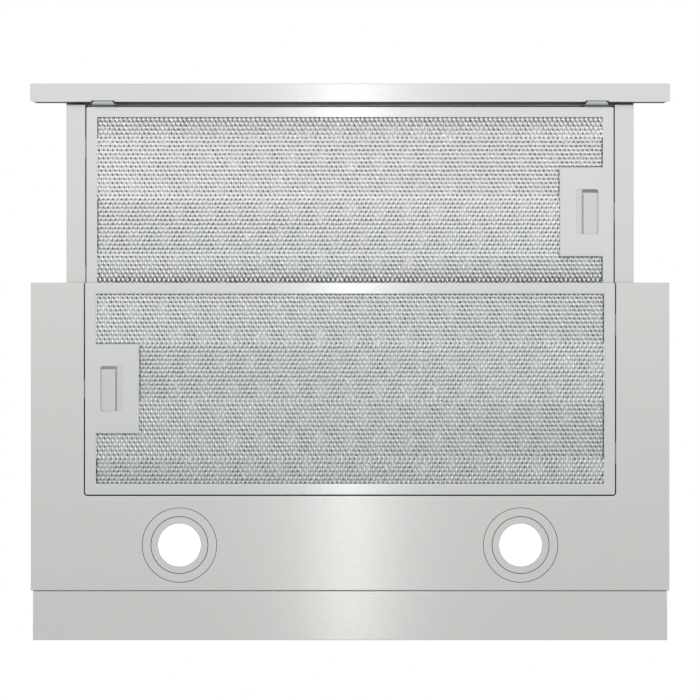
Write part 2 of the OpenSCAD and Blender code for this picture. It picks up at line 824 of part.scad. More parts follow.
module capacitor_clip() {
    x0 = cap_x - strap_half;
    x1 = cap_x + strap_half;
    strap_r = cap_r + strap_t;
    color(zinc) difference() {
        union() {
            translate([x0, cap_y, cap_z]) rotate([0, 90, 0]) cylinder(r = strap_r, h = x1 - x0);
            slab([x0, cap_y - strap_r, deck_top], [x1, cap_y + strap_r, cap_z]);
        }
        translate([x0 - over, cap_y, cap_z]) rotate([0, 90, 0])
            cylinder(r = cap_r + run_fit, h = x1 - x0 + 2 * over);
        slab([x0 - over, cap_y - cap_r, deck_top + strap_t], [x1 + over, cap_y + cap_r, cap_z]);
    }
}

module terminal_box() {
    lo = [box_x - box_size[0] / 2, box_y - box_size[1] / 2, deck_top];
    row_x = box_x - (block_count - 1) * block_pitch / 2 - block_size[0] / 2;
    color(grey_plastic) {
        difference() {
            slab(lo, lo + box_size);
            slab(lo + [box_wall, box_wall, box_wall], lo + box_size + [-box_wall, -box_wall, over]);
        }
        for (i = [0:block_count - 1])
            translate([row_x + i * block_pitch, box_y - block_size[1] / 2, deck_top + box_wall - eps])
                cube(block_size);
    }
}

module terminal_lid() {
    lo = [box_x - box_size[0] / 2, box_y - box_size[1] / 2, deck_top + box_size[2]];
    rim = box_wall + set_gap;
    color(dark_plastic) {
        slab(lo, lo + [box_size[0], box_size[1], lid_t]);
        slab(lo + [rim, rim, -lid_lip], lo + [box_size[0] - rim, box_size[1] - rim, eps]);
    }
}

module cable_gland() {
    color(dark_plastic) translate([box_x, box_y, 0]) rotate_extrude() polygon([
        [gland_bore, roof_in - gland_depth], [gland_r - set_gap, roof_in - gland_depth],
        [gland_r - set_gap, roof_z], [gland_r + gland_flange, roof_z],
        [gland_r + gland_flange, roof_z + gland_rim], [gland_r, roof_z + gland_rim],
        [gland_r - gland_taper, roof_z + gland_h], [gland_bore, roof_z + gland_h]
    ]);
}

module lamp_driver() {
    lo = [driver_x - driver_size[0] / 2, driver_y - driver_size[1] / 2, deck_top];
    ear_x = driver_size[0] + driver_ear[0];
    color(white_plastic) {
        slab(lo, lo + driver_size);
        slab(lo + [-driver_ear[0], driver_ear[1], 0],
            lo + [ear_x, driver_size[1] - driver_ear[1], driver_ear[2]]);
    }
}

// Formed channel under the deck: its shelf carries the rail, its web guides it
module runner() {
    front = pan_front + sheet_t;
    color(steel_dark) difference() {
        union() {
            slab([runner_in, front, shelf_bot], [runner_in + runner_t, runner_end, deck_bot]);
            slab([shelf_in, front, shelf_bot], [runner_in + eps, runner_end, shelf_top]);
            slab([runner_in, front, deck_bot - runner_t],
                [runner_in + runner_flange, runner_end, deck_bot]);
        }
        screw_holes(runner_screws, deck_bot - runner_t - over, deck_bot + over);
    }
}

module runner_left() {
    mirror([1, 0, 0]) runner();
}

module runner_right() {
    runner();
}

module body_glides() {
    color(white_plastic) both_sides() slab(
        [shelf_in + glide_inset, pan_front + sheet_t, shelf_top],
        [runner_in - set_gap, pan_front + sheet_t + glide_len, shelf_top + glide_t]
    );
}

module visor_tray() {
    color(steel) {
        slab([-visor_w / 2, bar_rear, visor_top - sheet_t],
            [visor_w / 2, cross_front + cross_w, visor_top]);
        slab([-visor_w / 2, cross_front, visor_z],
            [visor_w / 2, cross_front + cross_w, visor_z + sheet_t]);
        both_sides() {
            slab([visor_w / 2 - sheet_t, bar_rear, visor_z], [visor_w / 2, visor_rear, visor_top]);
            slab([notch_w / 2, bar_rear, visor_z], [visor_w / 2, visor_rear, visor_z + sheet_t]);
        }
    }
}

module visor_glides() {
    color(white_plastic) both_sides() slab(
        [shelf_in, cross_front + cross_w, visor_z + sheet_t],
        [visor_w / 2 - sheet_t, visor_rear, deck_bot - slide_gap]
    );
}

module front_bar() {
    clip_half = clip_w / 2 + set_gap;
    color(steel) difference() {
        slab([-bar_w / 2, bar_front, base_z], [bar_w / 2, bar_rear, base_z + bar_h]);
        slab([-bar_w / 2 + sheet_t, bar_front + sheet_t, base_z + sheet_t],
            [bar_w / 2 - sheet_t, bar_rear + over, base_z + bar_h - sheet_t]);
        both_sides() {
            translate([bar_w / 2 - bar_corner, bar_rear, base_z - over]) rotate([0, 0, -45])
                translate([-over, 0, 0]) cube([2 * bar_corner + over, 2 * bar_corner, bar_h + 2 * over]);
            slab([clip_x - clip_half, bar_rear - clip_depth - set_gap, base_z - over],
                [clip_x + clip_half, bar_rear + over, base_z + sheet_t + over]);
        }
        for (i = [0:button_count - 1])
            button_hole(i, button_r + slide_gap, bar_front - over, bar_front + 2 * sheet_t);
        bar_screw_holes();
    }
}

// Cylinder along Y at the place of button i
module button_hole(i, r, y0, y1) {
    translate([button_x + i * button_pitch, y0, button_z]) rotate([-90, 0, 0])
        cylinder(r = r, h = y1 - y0);
}

module bar_screw_holes() {
    both_sides() for (s = [-1, 1]) translate([clip_x + s * clip_w / 4, clip_screw_y, button_z])
        cylinder(r = screw_r + screw_fit, h = bar_h, $fn = 24);
}

// Folded clip between the bar and the tray, drawn as its profile in (y, z)
module bar_bracket() {
    top = base_z + bar_h - sheet_t;
    tray = visor_top - sheet_t;
    low = base_z + sheet_t;
    x0 = clip_x - clip_w / 2;
    x1 = clip_x + clip_w / 2;
    color(zinc) difference() {
        union() {
            slab([x0, bar_rear - clip_depth, low], [x1, bar_rear + clip_back, low + clip_t]);
            slab([x0, bar_rear - clip_depth, low], [x1, bar_rear - clip_depth + clip_t, top]);
            slab([x0, bar_rear - clip_foot, top - clip_t], [x1, bar_rear - clip_depth + clip_t, top]);
            slab([x0, bar_rear + clip_back - clip_t, low], [x1, bar_rear + clip_back, tray]);
            slab([x0, bar_rear + clip_back - clip_t, tray - clip_t], [x1, bar_rear + clip_foot, tray]);
        }
        bar_screw_holes();
    }
}

module bar_bracket_left() {
    mirror([1, 0, 0]) bar_bracket();
}

module bar_bracket_right() {
    bar_bracket();
}

module bar_screws() {
    top = base_z + bar_h;
    color(zinc) both_sides() for (s = [-1, 1])
        translate([clip_x + s * clip_w / 4, clip_screw_y, top]) {
            translate([0, 0, -clip_screw_len]) cylinder(r = screw_r, h = clip_screw_len + eps, $fn = 24);
            cylinder(r = screw_head_r, h = clip_head_h, $fn = 24);
        }
}

module switch_block() {
    color(dark_plastic) difference() {
        slab([button_x - button_r - block_side, block_y0, button_z - block_half_h],
            [last_button_x + button_r + block_side, block_y1, button_z + block_half_h]);
        for (i = [0:button_count - 1]) {
            button_hole(i, button_r + slide_gap, block_y0 - over, pocket_y);
            button_hole(i, button_stem_r + run_fit, block_y0 - over, block_y1 + over);
        }
    }
}

// Push button i: a cap flush with the bar and a stem that runs in the block
module button(i) {
    face_y = bar_front + button_recess;
    color(zinc) {
        button_hole(i, button_r, face_y, face_y + button_cap_t);
        button_hole(i, button_stem_r, face_y, block_y1 - button_travel);
    }
}

module button_stop() {
    button(0);
}

module button_low() {
    button(1);
}

module button_medium() {
    button(2);
}

module button_high() {
    button(3);
}

module button_lamp() {
    button(4);
}

// Border of a cassette: a channel of aluminium with two tongues and a slot for the bolt
module filter_frame() {
    color(alloy) {
        difference() {
            linear_extrude(filter_t) polygon(rounded(filter_w, filter_d, filter_corner));
            slab([-win_w / 2, -win_d / 2, -over], [win_w / 2, win_d / 2, filter_t + over]);
            slab([-filter_w / 2 + skin_t, -filter_d / 2 + skin_t, skin_t],
                [filter_w / 2 - skin_t, filter_d / 2 - skin_t, filter_t - skin_t]);
            slab([-filter_w / 2 - over, -bolt_w / 2 - slide_gap, slider_z0 - slide_gap],
                [-filter_w / 2 + 2 * skin_t, bolt_w / 2 + slide_gap, slider_z1 + slide_gap]);
        }
        for (s = [-1, 1]) translate([0, s * tongue_off, 0])
            slab([filter_w / 2 - skin_t, -tongue_w / 2, ledge_z],
                [filter_w / 2 + filter_gap + bolt_reach, tongue_w / 2, ledge_z + tongue_t]);
    }
}

// Outline of the cassette's inner layers, cut out for the latch tub and the bolt
module layer_outline() {
    room = set_gap;
    difference() {
        square([filter_w - 2 * skin_t - 2 * room, filter_d - 2 * skin_t - 2 * room], center = true);
        translate([-filter_w, -plate_d / 2 - room])
            square([filter_w + plate_x1 + room, plate_d + 2 * room]);
    }
}

// Face net of the cassette, with staggered diamond gaps
module filter_mesh() {
    cols = floor((win_w - mesh_pitch) / mesh_pitch);
    rows = floor((win_d - mesh_row) / mesh_row);
    half_x = (mesh_pitch - strand_w) / 2;
    half_y = (mesh_row * 1.5 - strand_w) / 2;
    color(mesh_grey) translate([0, 0, skin_t]) linear_extrude(mesh_t) difference() {
        layer_outline();
        for (j = [0:rows]) for (i = [0:cols - (j % 2)]) {
            x = (i - (cols - (j % 2)) / 2) * mesh_pitch;
            y = (j - rows / 2) * mesh_row;
            beside = x - half_x > plate_x1 + strand_w;
            past = abs(y) - half_y > plate_d / 2 + strand_w;
            if ((beside || past) && abs(y) + half_y < win_d / 2) translate([x, y])
                polygon([[half_x, 0], [0, half_y], [-half_x, 0], [0, -half_y]]);
        }
    }
}

module filter_core() {
    core_t = filter_t - 2 * skin_t - mesh_t - set_gap;
    color(core_grey) translate([0, 0, skin_t + mesh_t]) linear_extrude(core_t) layer_outline();
}

// Finger plate with the tub behind it that holds the catch
module latch_plate() {
    slot_mid = (slot_x0 + slot_x1) / 2;
    color(alloy) difference() {
        union() {
            slab([plate_x0, -plate_d / 2 + set_gap, 0], [plate_x1, plate_d / 2 - set_gap, skin_t]);
            slab([tub_x0, -tub_half, 0], [tub_x1, tub_half, tub_top]);
            slab([plate_x0 - seat_l, -tub_half, skin_t], [tub_x0 + eps, tub_half, 2 * skin_t]);
        }
        slab([tub_x0 + tub_wall, -tub_half + tub_wall, skin_t],
            [tub_x1 - tub_wall, tub_half - tub_wall, tub_top - tub_wall]);
        translate([slot_mid, 0, -over]) linear_extrude(2 * over + skin_t)
            polygon(rounded(slot_w, slot_d, slot_corner));
        slab([plate_x0 - seat_l - over, -bolt_w / 2 - slide_gap, skin_t],
            [tub_x0 + 2 * tub_wall, bolt_w / 2 + slide_gap, slider_z1 + slide_gap]);
    }
}

// Sliding catch: finger tab, two arms round the finger recess, and the bolt
module latch_slider() {
    back_x = tub_x0 + tub_wall + set_gap;
    color(grey_plastic) {
        slab([tab_x0, -slider_half, slider_z0], [tab_x1, slider_half, slider_z1]);
        slab([back_x, -slider_half, slider_z0], [back_x + cross_t, slider_half, slider_z1]);
        for (s = [-1, 1]) translate([0, s * (arm_in + arm_w / 2), 0])
            slab([back_x, -arm_w / 2, slider_z0], [tab_x1, arm_w / 2, slider_z1]);
        slab([-filter_w / 2 - filter_gap - bolt_reach, -bolt_w / 2, slider_z0],
            [back_x + eps, bolt_w / 2, slider_z1]);
    }
}

// Coil spring along +X between the catch and the tub's wall
module latch_springs() {
    len = spring_room - 2 * set_gap;
    rings = spring_turns * spring_steps;
    points = [for (i = [0:rings]) for (k = [0:spring_sides - 1])
        helix_point(spring_r, len, spring_wire, spring_turns, i / rings, 360 * k / spring_sides)];
    sides = [for (i = [0:rings - 1], k = [0:spring_sides - 1])
        let (a = i * spring_sides, b = a + spring_sides, n = (k + 1) % spring_sides)
            each [[a + k, a + n, b + n], [a + k, b + n, b + k]]];
    start = [[for (k = [spring_sides - 1:-1:0]) k]];
    end = [[for (k = [0:spring_sides - 1]) rings * spring_sides + k]];
    color(zinc) for (s = [-1, 1])
        translate([tab_x1 + set_gap, s * spring_y, (slider_z0 + slider_z1) / 2])
            polyhedron(points, concat(sides, start, end), convexity = 10);
}

module filter_frame_fixed() {
    at_fixed_filter() filter_frame();
}

module filter_mesh_fixed() {
    at_fixed_filter() filter_mesh();
}

module filter_core_fixed() {
    at_fixed_filter() filter_core();
}

module latch_plate_fixed() {
    at_fixed_filter() latch_plate();
}

module latch_slider_fixed() {
    at_fixed_filter() latch_slider();
}

module latch_springs_fixed() {
    at_fixed_filter() latch_springs();
}

module filter_frame_visor() {
    at_visor_filter() filter_frame();
}

module filter_mesh_visor() {
    at_visor_filter() filter_mesh();
}

module filter_core_visor() {
    at_visor_filter() filter_core();
}

module latch_plate_visor() {
    at_visor_filter() latch_plate();
}

module latch_slider_visor() {
    at_visor_filter() latch_slider();
}

module latch_springs_visor() {
    at_visor_filter() latch_springs();
}

// Can of the lamp, with a flange that lies on the panel from inside
module lamp_can() {
    translate([lamp_x, lamp_y, base_z]) difference() {
        union() {
            translate([0, 0, sheet_t]) cylinder(r = lamp_r + can_flange, h = can_wall, $fn = 96);
            translate([0, 0, sheet_t]) cylinder(r = can_r, h = can_h - sheet_t);
            translate([0, 0, can_h - over]) cylinder(r = can_r / 2, h = can_cap_h + over);
        }
        translate([0, 0, -over]) cylinder(r = can_in, h = can_h - board_drop + over);
    }
}

// Flush ring round the lens, with a groove where its two steps meet
module lamp_bezel() {
    translate([lamp_x, lamp_y, base_z]) rotate_extrude($fn = 96) polygon([
        [lens_r + set_gap, 0], [lamp_groove_r, 0], [lamp_groove_r, groove_h],
        [lamp_groove_r + groove_w, groove_h], [lamp_groove_r + groove_w, 0], [lamp_r, 0],
        [lamp_r, sheet_t], [can_in - set_gap, sheet_t], [can_in - set_gap, bezel_t + bezel_rim],
        [lens_r - bezel_rim, bezel_t + bezel_rim], [lens_r - bezel_rim, lens_t + lens_room],
        [lens_r + set_gap, lens_t + lens_room]
    ]);
}

module lamp_lens() {
    translate([lamp_x, lamp_y, base_z]) cylinder(r = lens_r, h = lens_t, $fn = 96);
}

module lamp_can_left() {
    color(grey_plastic) mirror([1, 0, 0]) lamp_can();
}

module lamp_can_right() {
    color(grey_plastic) lamp_can();
}

module lamp_bezel_left() {
    color(steel) mirror([1, 0, 0]) lamp_bezel();
}

module lamp_bezel_right() {
    color(steel) lamp_bezel();
}

module lamp_lens_left() {
    color(lens_white) mirror([1, 0, 0]) lamp_lens();
}

module lamp_lens_right() {
    color(lens_white) lamp_lens();
}

module led_boards() {
    board_z = base_z + can_h - board_drop - board_t;
    color(white_plastic) both_sides() translate([lamp_x, lamp_y, board_z]) {
        cylinder(r = can_in - set_gap, h = board_t);
        for (a = [0:60:300]) rotate(a) translate([led_ring, 0, -led_size[2]])
            cube(led_size + [0, 0, eps]);
    }
}

module rear_spacer() {
    color(steel) difference() {
        slab([-spacer_w / 2, spacer_front, base_z], [spacer_w / 2, spacer_rear, deck_top]);
        slab([-spacer_w / 2 + sheet_t, spacer_front + sheet_t, base_z + sheet_t],
            [spacer_w / 2 - sheet_t, spacer_rear - sheet_t, deck_top + over]);
        for (p = spacer_screws) spacer_hole(p, spacer_front - over, spacer_front + sheet_t + over);
    }
}

// Angle bracket that stands on the housing's foot and meets the cabinet's side
module cabinet_bracket() {
    z0 = deck_top + sheet_t;
    y0 = bracket_mid - bracket_len / 2;
    y1 = bracket_mid + bracket_len / 2;
    color(zinc) difference() {
        union() {
            slab([housing_w / 2 + set_gap, y0, z0], [cabinet_w / 2, y1, z0 + bracket_t]);
            slab([cabinet_w / 2 - bracket_t, y0, z0], [cabinet_w / 2, y1, z0 + bracket_h]);
        }
        screw_holes(side_screws, z0 - over, z0 + bracket_t + over);
        for (s = [-1, 1])
            translate([cabinet_w / 2, bracket_mid + s * cabinet_pitch / 2, z0 + bracket_h / 2])
                rotate([0, 90, 0]) cylinder(r = cabinet_hole_r, h = 4 * bracket_t, center = true);
    }
}

module cabinet_bracket_left() {
    mirror([1, 0, 0]) cabinet_bracket();
}

module cabinet_bracket_right() {
    cabinet_bracket();
}

module case_screws() {
    color(zinc) {
        screws_at(deck_screws, deck_top, long_screw);
        screws_at(side_screws, deck_top + sheet_t + bracket_t, bracket_t + 2 * sheet_t);
        screws_at(runner_screws, deck_top, sheet_t + runner_t + screw_tip);
        screws_at(front_screws, deck_top + sheet_t, 2 * sheet_t + screw_tip);
        screws_at(collar_screws, roof_z + collar_flange_t,
            collar_flange_t + sheet_t + scroll_flange_t + screw_tip);
        for (p = spacer_screws) translate([p[0], spacer_front + sheet_t, p[1]]) rotate([-90, 0, 0])
            case_screw(long_screw);
    }
}

underside_panel();
deck_plate();
housing_shell();
duct_collar();
flap_front();
flap_rear();
scroll_left();
scroll_right();
impeller();
motor_shaft();
motor_rotor();
motor_stator();
motor_shell();
motor_bracket();
run_capacitor();
capacitor_clip();
terminal_box();
terminal_lid();
cable_gland();
lamp_driver();
runner_left();
runner_right();
body_glides();
visor_tray();
visor_glides();
front_bar();
bar_bracket_left();
bar_bracket_right();
switch_block();
button_stop();
button_low();
button_medium();
button_high();
button_lamp();
filter_frame_fixed();
filter_mesh_fixed();
filter_core_fixed();
latch_plate_fixed();
latch_slider_fixed();
latch_springs_fixed();
filter_frame_visor();
filter_mesh_visor();
filter_core_visor();
latch_plate_visor();
latch_slider_visor();
latch_springs_visor();
lamp_can_left();
lamp_bezel_left();
lamp_lens_left();
lamp_can_right();
lamp_bezel_right();
lamp_lens_right();
led_boards();
rear_spacer();
cabinet_bracket_left();
cabinet_bracket_right();
case_screws();
motor_screws();
bar_screws();
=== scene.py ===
"""Surfaces, finishes and studio of a telescopic range hood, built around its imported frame."""

import json
import math

import bmesh
import bpy
import numpy as np
from bpy.props import FloatProperty, FloatVectorProperty, PointerProperty
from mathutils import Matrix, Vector

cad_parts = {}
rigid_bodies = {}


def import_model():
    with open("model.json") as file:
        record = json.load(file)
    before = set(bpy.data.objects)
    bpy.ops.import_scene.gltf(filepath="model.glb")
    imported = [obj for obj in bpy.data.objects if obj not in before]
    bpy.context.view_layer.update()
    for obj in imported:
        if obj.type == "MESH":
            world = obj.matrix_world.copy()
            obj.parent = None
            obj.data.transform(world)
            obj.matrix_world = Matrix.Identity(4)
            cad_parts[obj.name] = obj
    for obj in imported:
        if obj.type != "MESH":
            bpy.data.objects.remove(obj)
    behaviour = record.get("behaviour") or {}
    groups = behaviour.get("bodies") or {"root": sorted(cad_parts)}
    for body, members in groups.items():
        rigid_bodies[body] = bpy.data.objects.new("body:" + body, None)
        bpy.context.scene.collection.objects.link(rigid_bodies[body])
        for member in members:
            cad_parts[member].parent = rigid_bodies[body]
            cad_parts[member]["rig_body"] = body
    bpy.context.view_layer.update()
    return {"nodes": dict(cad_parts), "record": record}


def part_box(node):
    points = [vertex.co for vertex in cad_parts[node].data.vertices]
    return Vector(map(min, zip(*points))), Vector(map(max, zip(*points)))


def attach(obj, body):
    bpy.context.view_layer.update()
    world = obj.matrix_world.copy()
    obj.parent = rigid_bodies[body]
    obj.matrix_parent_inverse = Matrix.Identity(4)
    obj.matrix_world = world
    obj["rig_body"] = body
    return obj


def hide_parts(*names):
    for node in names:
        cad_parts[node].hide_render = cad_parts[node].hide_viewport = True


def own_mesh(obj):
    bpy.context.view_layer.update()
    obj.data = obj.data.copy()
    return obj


bl_info = {
    "name": "Telescopic range hood",
    "version": (1, 0, 0),
    "blender": (4, 5, 0),
    "location": "3D View > Sidebar > Range Hood",
    "description": "Surfaces, finishes and studio for a telescopic range hood",
    "category": "Add Mesh",
}

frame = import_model()
MM = 0.001
SAME_LINE = 1e-6  # millimetres within which two grid lines are one
SAME_POINT = 0.001  # millimetres within which two points are one
DOWN = (0, 0, -1)
UP = (0, 0, 1)


def box_mm(node):
    """Lowest and highest corner of a frame node in millimetres."""
    low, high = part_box(node)
    return np.array(low) / MM, np.array(high) / MM


PAN_LOW, PAN_HIGH = box_mm("underside_panel")
BAR_LOW, BAR_HIGH = box_mm("front_bar")
TRAY_LOW, TRAY_HIGH = box_mm("visor_tray")
SPACER_LOW, SPACER_HIGH = box_mm("rear_spacer")
DECK_LOW, DECK_HIGH = box_mm("deck_plate")
HOUSING_LOW, HOUSING_HIGH = box_mm("housing_shell")
FILTER_LOW, FILTER_HIGH = box_mm("filter_frame_fixed")
LENS_LOW, LENS_HIGH = box_mm("lamp_lens_right")
BEZEL_LOW, BEZEL_HIGH = box_mm("lamp_bezel_right")
CLIP_LOW, CLIP_HIGH = box_mm("bar_bracket_right")
CABINET_LOW, CABINET_HIGH = box_mm("cabinet_bracket_right")
LAMP_X, LAMP_Y = (LENS_LOW + LENS_HIGH)[:2] / 2
CLIP_X = (CLIP_LOW[0] + CLIP_HIGH[0]) / 2
BUTTONS = ("button_stop", "button_low", "button_medium", "button_high", "button_lamp")
SLOTS = {row["node"]: row["material_slot"] for row in frame["record"]["subparts"]}


def length(name, description, default, low, high):
    """Length property, with its default and its limits in millimetres."""
    return FloatProperty(
        name=name, description=description, default=default * MM,
        min=low * MM, max=high * MM, unit="LENGTH",
    )


def tilt_angle(name, description, default):
    """Angle property of up to one radian, with its default in degrees."""
    return FloatProperty(
        name=name, description=description, default=math.radians(default),
        min=0, max=1, subtype="ANGLE", unit="ROTATION",
    )


def colour(name, description, default):
    """Colour property: linear red, green and blue."""
    return FloatVectorProperty(
        name=name, description=description, default=default,
        size=3, min=0, max=1, subtype="COLOR",
    )


def amount(name, description, default, low, high, unit="NONE"):
    """Property of any other kind."""
    return FloatProperty(
        name=name, description=description, default=default, min=low, max=high, unit=unit
    )


class SheetSizes(bpy.types.PropertyGroup):
    """Sizes that all the folded sheet pieces share."""

    thickness: length(
        "Sheet", "Thickness of the steel sheet", DECK_HIGH[2] - DECK_LOW[2], 0.4, 1.5
    )
    bend: length("Bend", "Outer radius of a fold", 0.85, 0.8, 2)
    edge: length("Edge", "Rounding of a cut edge", 0.12, 0, 0.3)
    hole_play: length("Hole play", "Gap between a lamp ring and its hole", 0.5, 0, 1)
    bead: length("Bead", "Depth of a bead pressed into the blower housing", 1.3, 0, 2)


class CassetteSizes(bpy.types.PropertyGroup):
    """Sizes of a grease filter cassette."""

    width: length("Width", "Width of a cassette", -2 * FILTER_LOW[0], 300, 600)
    depth: length("Depth", "Depth of a cassette", FILTER_HIGH[1] - FILTER_LOW[1], 100, 400)
    height: length("Thickness", "Thickness of a cassette", FILTER_HIGH[2] - FILTER_LOW[2], 5, 20)
    border: length("Border", "Width of the aluminium border", 10.6, 5, 20)
    gap: length("Gap", "Gap round a cassette", 0.75, 0.3, 2)


class NetSizes(bpy.types.PropertyGroup):
    """Sizes of the expanded aluminium net."""

    pitch: length("Pitch", "Distance between bonds along a row", 4.29, 2, 10)
    row: length("Row", "Distance between rows of bonds", 3.86, 2, 10)
    strand: length("Strand", "Width of a strand seen square to the net", 2.9, 0.5, 3.5)
    strand_thickness: length("Strand thickness", "Thickness of a strand", 0.3, 0.1, 0.6)
    lean_front: tilt_angle("Lean forward", "Tilt of the strands that face the front", 22.5)
    lean_rear: tilt_angle("Lean back", "Tilt of the strands that face the wall", 18.5)
    band: length(
        "Band", "Width of a band in which the same strands face the front", 54.1, 10, 200
    )


class FinishColours(bpy.types.PropertyGroup):
    """Colours of the finishes."""

    steel: colour("Steel", "Colour of the satin steel sheet", (0.585, 0.597, 0.578))
    zinc: colour("Zinc", "Colour of the galvanised sheet", (0.52, 0.54, 0.55))
    # partly painted shade: the blue-grey of zinc plating, made darker for the clip's leg that
    # stands in shade under the bar
    plated: colour("Plating", "Colour of the zinc plated clips and brackets", (0.42, 0.44, 0.48))
    aluminium: colour("Aluminium", "Colour of the cassette's border", (0.59, 0.607, 0.592))
    net: colour("Net", "Colour of the expanded net", (0.93, 0.985, 0.985))
    dark_plastic: colour("Dark plastic", "Colour of the black plastic pieces", (0.03, 0.03, 0.032))
    grey_plastic: colour("Grey plastic", "Colour of the grey plastic pieces", (0.42, 0.42, 0.42))


class StudioSettings(bpy.types.PropertyGroup):
    """Camera and lights."""

    lens: amount("Lens", "Focal length of the camera", 146.4, 20, 300, "CAMERA")
    camera_y: length(
        "Camera place", "Place of the camera from the duct's axis towards the wall",
        -114.9, -1000, 1000,
    )
    camera_drop: length(
        "Camera drop", "Distance of the camera below the hood's underside", 2660, 500, 6000
    )
    floor_z: length("Floor", "Height of the floor", -3250, -6000, -2900)
    strip_power: amount(
        "Strip light", "Power of the long light below the middle of the hood", 0.2, 0, 50, "POWER"
    )
    panel_glow: amount(
        "Front panels", "Radiance of each wide soft panel below the front", 0.12, 0, 1
    )
    top_power: amount("Top light", "Power of the soft light above the hood", 50, 0, 500, "POWER")


GROUPS = {
    "hood_sheet": SheetSizes,
    "hood_cassette": CassetteSizes,
    "hood_net": NetSizes,
    "hood_colours": FinishColours,
    "hood_studio": StudioSettings,
}


def sizes(group, *names):
    """Length properties of a group, in millimetres."""
    values = getattr(bpy.context.scene, group)
    return [getattr(values, name) / MM for name in names]


# Shapes as arrays of points, in millimetres


def quarter(steps=4):
    """Angles of a quarter turn."""
    return np.linspace(0, np.pi / 2, steps + 1)


def arc(centre, radius, start, end, steps=4):
    """Points of a circle's arc between two angles in degrees."""
    a = np.radians(np.linspace(start, end, steps + 1))
    return np.stack([centre[0] + radius * np.cos(a), centre[1] + radius * np.sin(a)], 1)


def rounded_loop(centre, half, radius, steps=5):
    """Rounded rectangle: quarter arcs whose centres lie at the half sizes less the radius."""
    q = quarter(steps)[None, :] + np.radians([0, 90, 180, 270])[:, None]
    sx = np.array([1, -1, -1, 1])[:, None]
    sy = np.array([1, 1, -1, -1])[:, None]
    x = centre[0] + sx * (half[0] - radius) + radius * np.cos(q)
    y = centre[1] + sy * (half[1] - radius) + radius * np.sin(q)
    return np.stack([x.ravel(), y.ravel()], 1)


def folded(points, radius, steps=4):
    """Open polyline with an arc at each inner corner, which starts and ends at the radius divided
    by the tangent of half the corner's angle away from it."""
    points = np.asarray(points, float)
    a, b, c = points[:-2], points[1:-1], points[2:]
    u = (a - b) / np.linalg.norm(a - b, axis=1)[:, None]
    v = (c - b) / np.linalg.norm(c - b, axis=1)[:, None]
    half = np.arccos(np.clip((u * v).sum(1), -1, 1)) / 2
    back = (radius / np.tan(half))[:, None]
    t = np.linspace(0, 1, steps + 1)[None, :, None]
    bisector = (u + v) / np.linalg.norm(u + v, axis=1)[:, None]
    centre = b + bisector * (radius / np.sin(half))[:, None]
    start, end = b + u * back - centre, b + v * back - centre
    turn = (np.pi - 2 * half)[:, None, None]
    blend = np.sin((1 - t) * turn) * start[:, None] + np.sin(t * turn) * end[:, None]
    arcs = centre[:, None] + blend / np.sin(turn)
    return np.concatenate([points[:1], arcs.reshape(-1, 2), points[-1:]])


def grid_surface(points, wrap=False):
    """Vertices and four-cornered faces of a surface given as an (n, m, 3) array; wrap closes its
    second way."""
    n, m = points.shape[:2]
    i = np.arange(n - 1)[:, None]
    j = np.arange(m if wrap else m - 1)[None, :]
    k = (j + 1) % m
    corners = np.broadcast_arrays(i * m + j, i * m + k, (i + 1) * m + k, (i + 1) * m + j)
    return points.reshape(-1, 3), np.stack(corners, -1).reshape(-1, 4)


def level(loop, z):
    """Plane points at a height."""
    return np.column_stack([loop, np.full(len(loop), float(z))])


def stack_loops(loops, heights):
    """Surface through closed plane loops of equal count, each at its height."""
    rows = [level(loop, z) for loop, z in zip(loops, heights)]
    return grid_surface(np.array(rows), True)


def cap(loop, z):
    """Flat face that closes a loop, as triangles from its middle."""
    n = len(loop)
    i = np.arange(n)
    points = np.vstack([level(loop, z), [*loop.mean(0), z]])
    return points, np.stack([i, (i + 1) % n, np.full(n, n)], 1)


def block(loop, heights):
    """Closed upright block from a plane loop, between two heights."""
    return [stack_loops([loop, loop], heights), *(cap(loop, z) for z in heights)]


def along(section, spots, axis):
    """Section (u, v) carried straight along X or Y (axis 0 or 1) through the spots, v upwards."""
    section, spots = np.asarray(section, float), np.asarray(spots, float)[:, None]
    u, v, w = np.broadcast_arrays(section[:, 0][None], section[:, 1][None], spots)
    return grid_surface(np.stack([w, u, v] if axis == 0 else [u, w, v], -1))


def within(values, middle, reach):
    """Grid lines no further from a place than the reach, counted from that place."""
    near = (values > middle - reach - SAME_LINE) & (values < middle + reach + SAME_LINE)
    return values[near] - middle


def plate(us, vs, holes=(), drop=()):
    """Flat sheet on the grid of lines us by vs, without the cells whose middle is in a drop
    rectangle (u0, u1, v0, v1). Each hole (u, v, radius, reach) takes out the square of that reach,
    and the ring between the circle and the square's own grid points closes it."""
    us, vs = np.asarray(us, float), np.asarray(vs, float)
    u, v = np.meshgrid(us, vs, indexing="ij")
    points, quads = grid_surface(np.stack([u, v, 0 * u], -1))
    middle_u, middle_v, _ = points[quads].mean(1).T
    keep = np.ones(len(quads), bool)
    squares = [(a - r, a + r, b - r, b + r) for a, b, _, r in holes]
    for u0, u1, v0, v1 in [*drop, *squares]:
        keep &= ~((middle_u > u0) & (middle_u < u1) & (middle_v > v0) & (middle_v < v1))
    parts = [(points, quads[keep])]
    for a, b, radius, reach in holes:
        side_u, side_v = within(us, a, reach), within(vs, b, reach)
        far_u, far_v = np.full(len(side_u), reach), np.full(len(side_v), reach)
        sides = ((side_u, -far_u), (far_v, side_v), (side_u[::-1], far_u), (-far_v, side_v[::-1]))
        square = np.concatenate([np.stack(side, 1)[:-1] for side in sides])
        angle = np.arctan2(square[:, 1], square[:, 0])
        circle = radius * np.stack([np.cos(angle), np.sin(angle)], 1)
        t = np.linspace(0, 1, 3)[:, None, None]
        ring = np.array([a, b]) + circle * (1 - t) + square * t
        parts.append(grid_surface(np.concatenate([ring, 0 * ring[..., :1]], -1), True))
    return parts


def mapped(parts, mapping):
    """Parts whose points go through a function of an (n, 3) array."""
    return [(mapping(p), f) for p, f in parts]


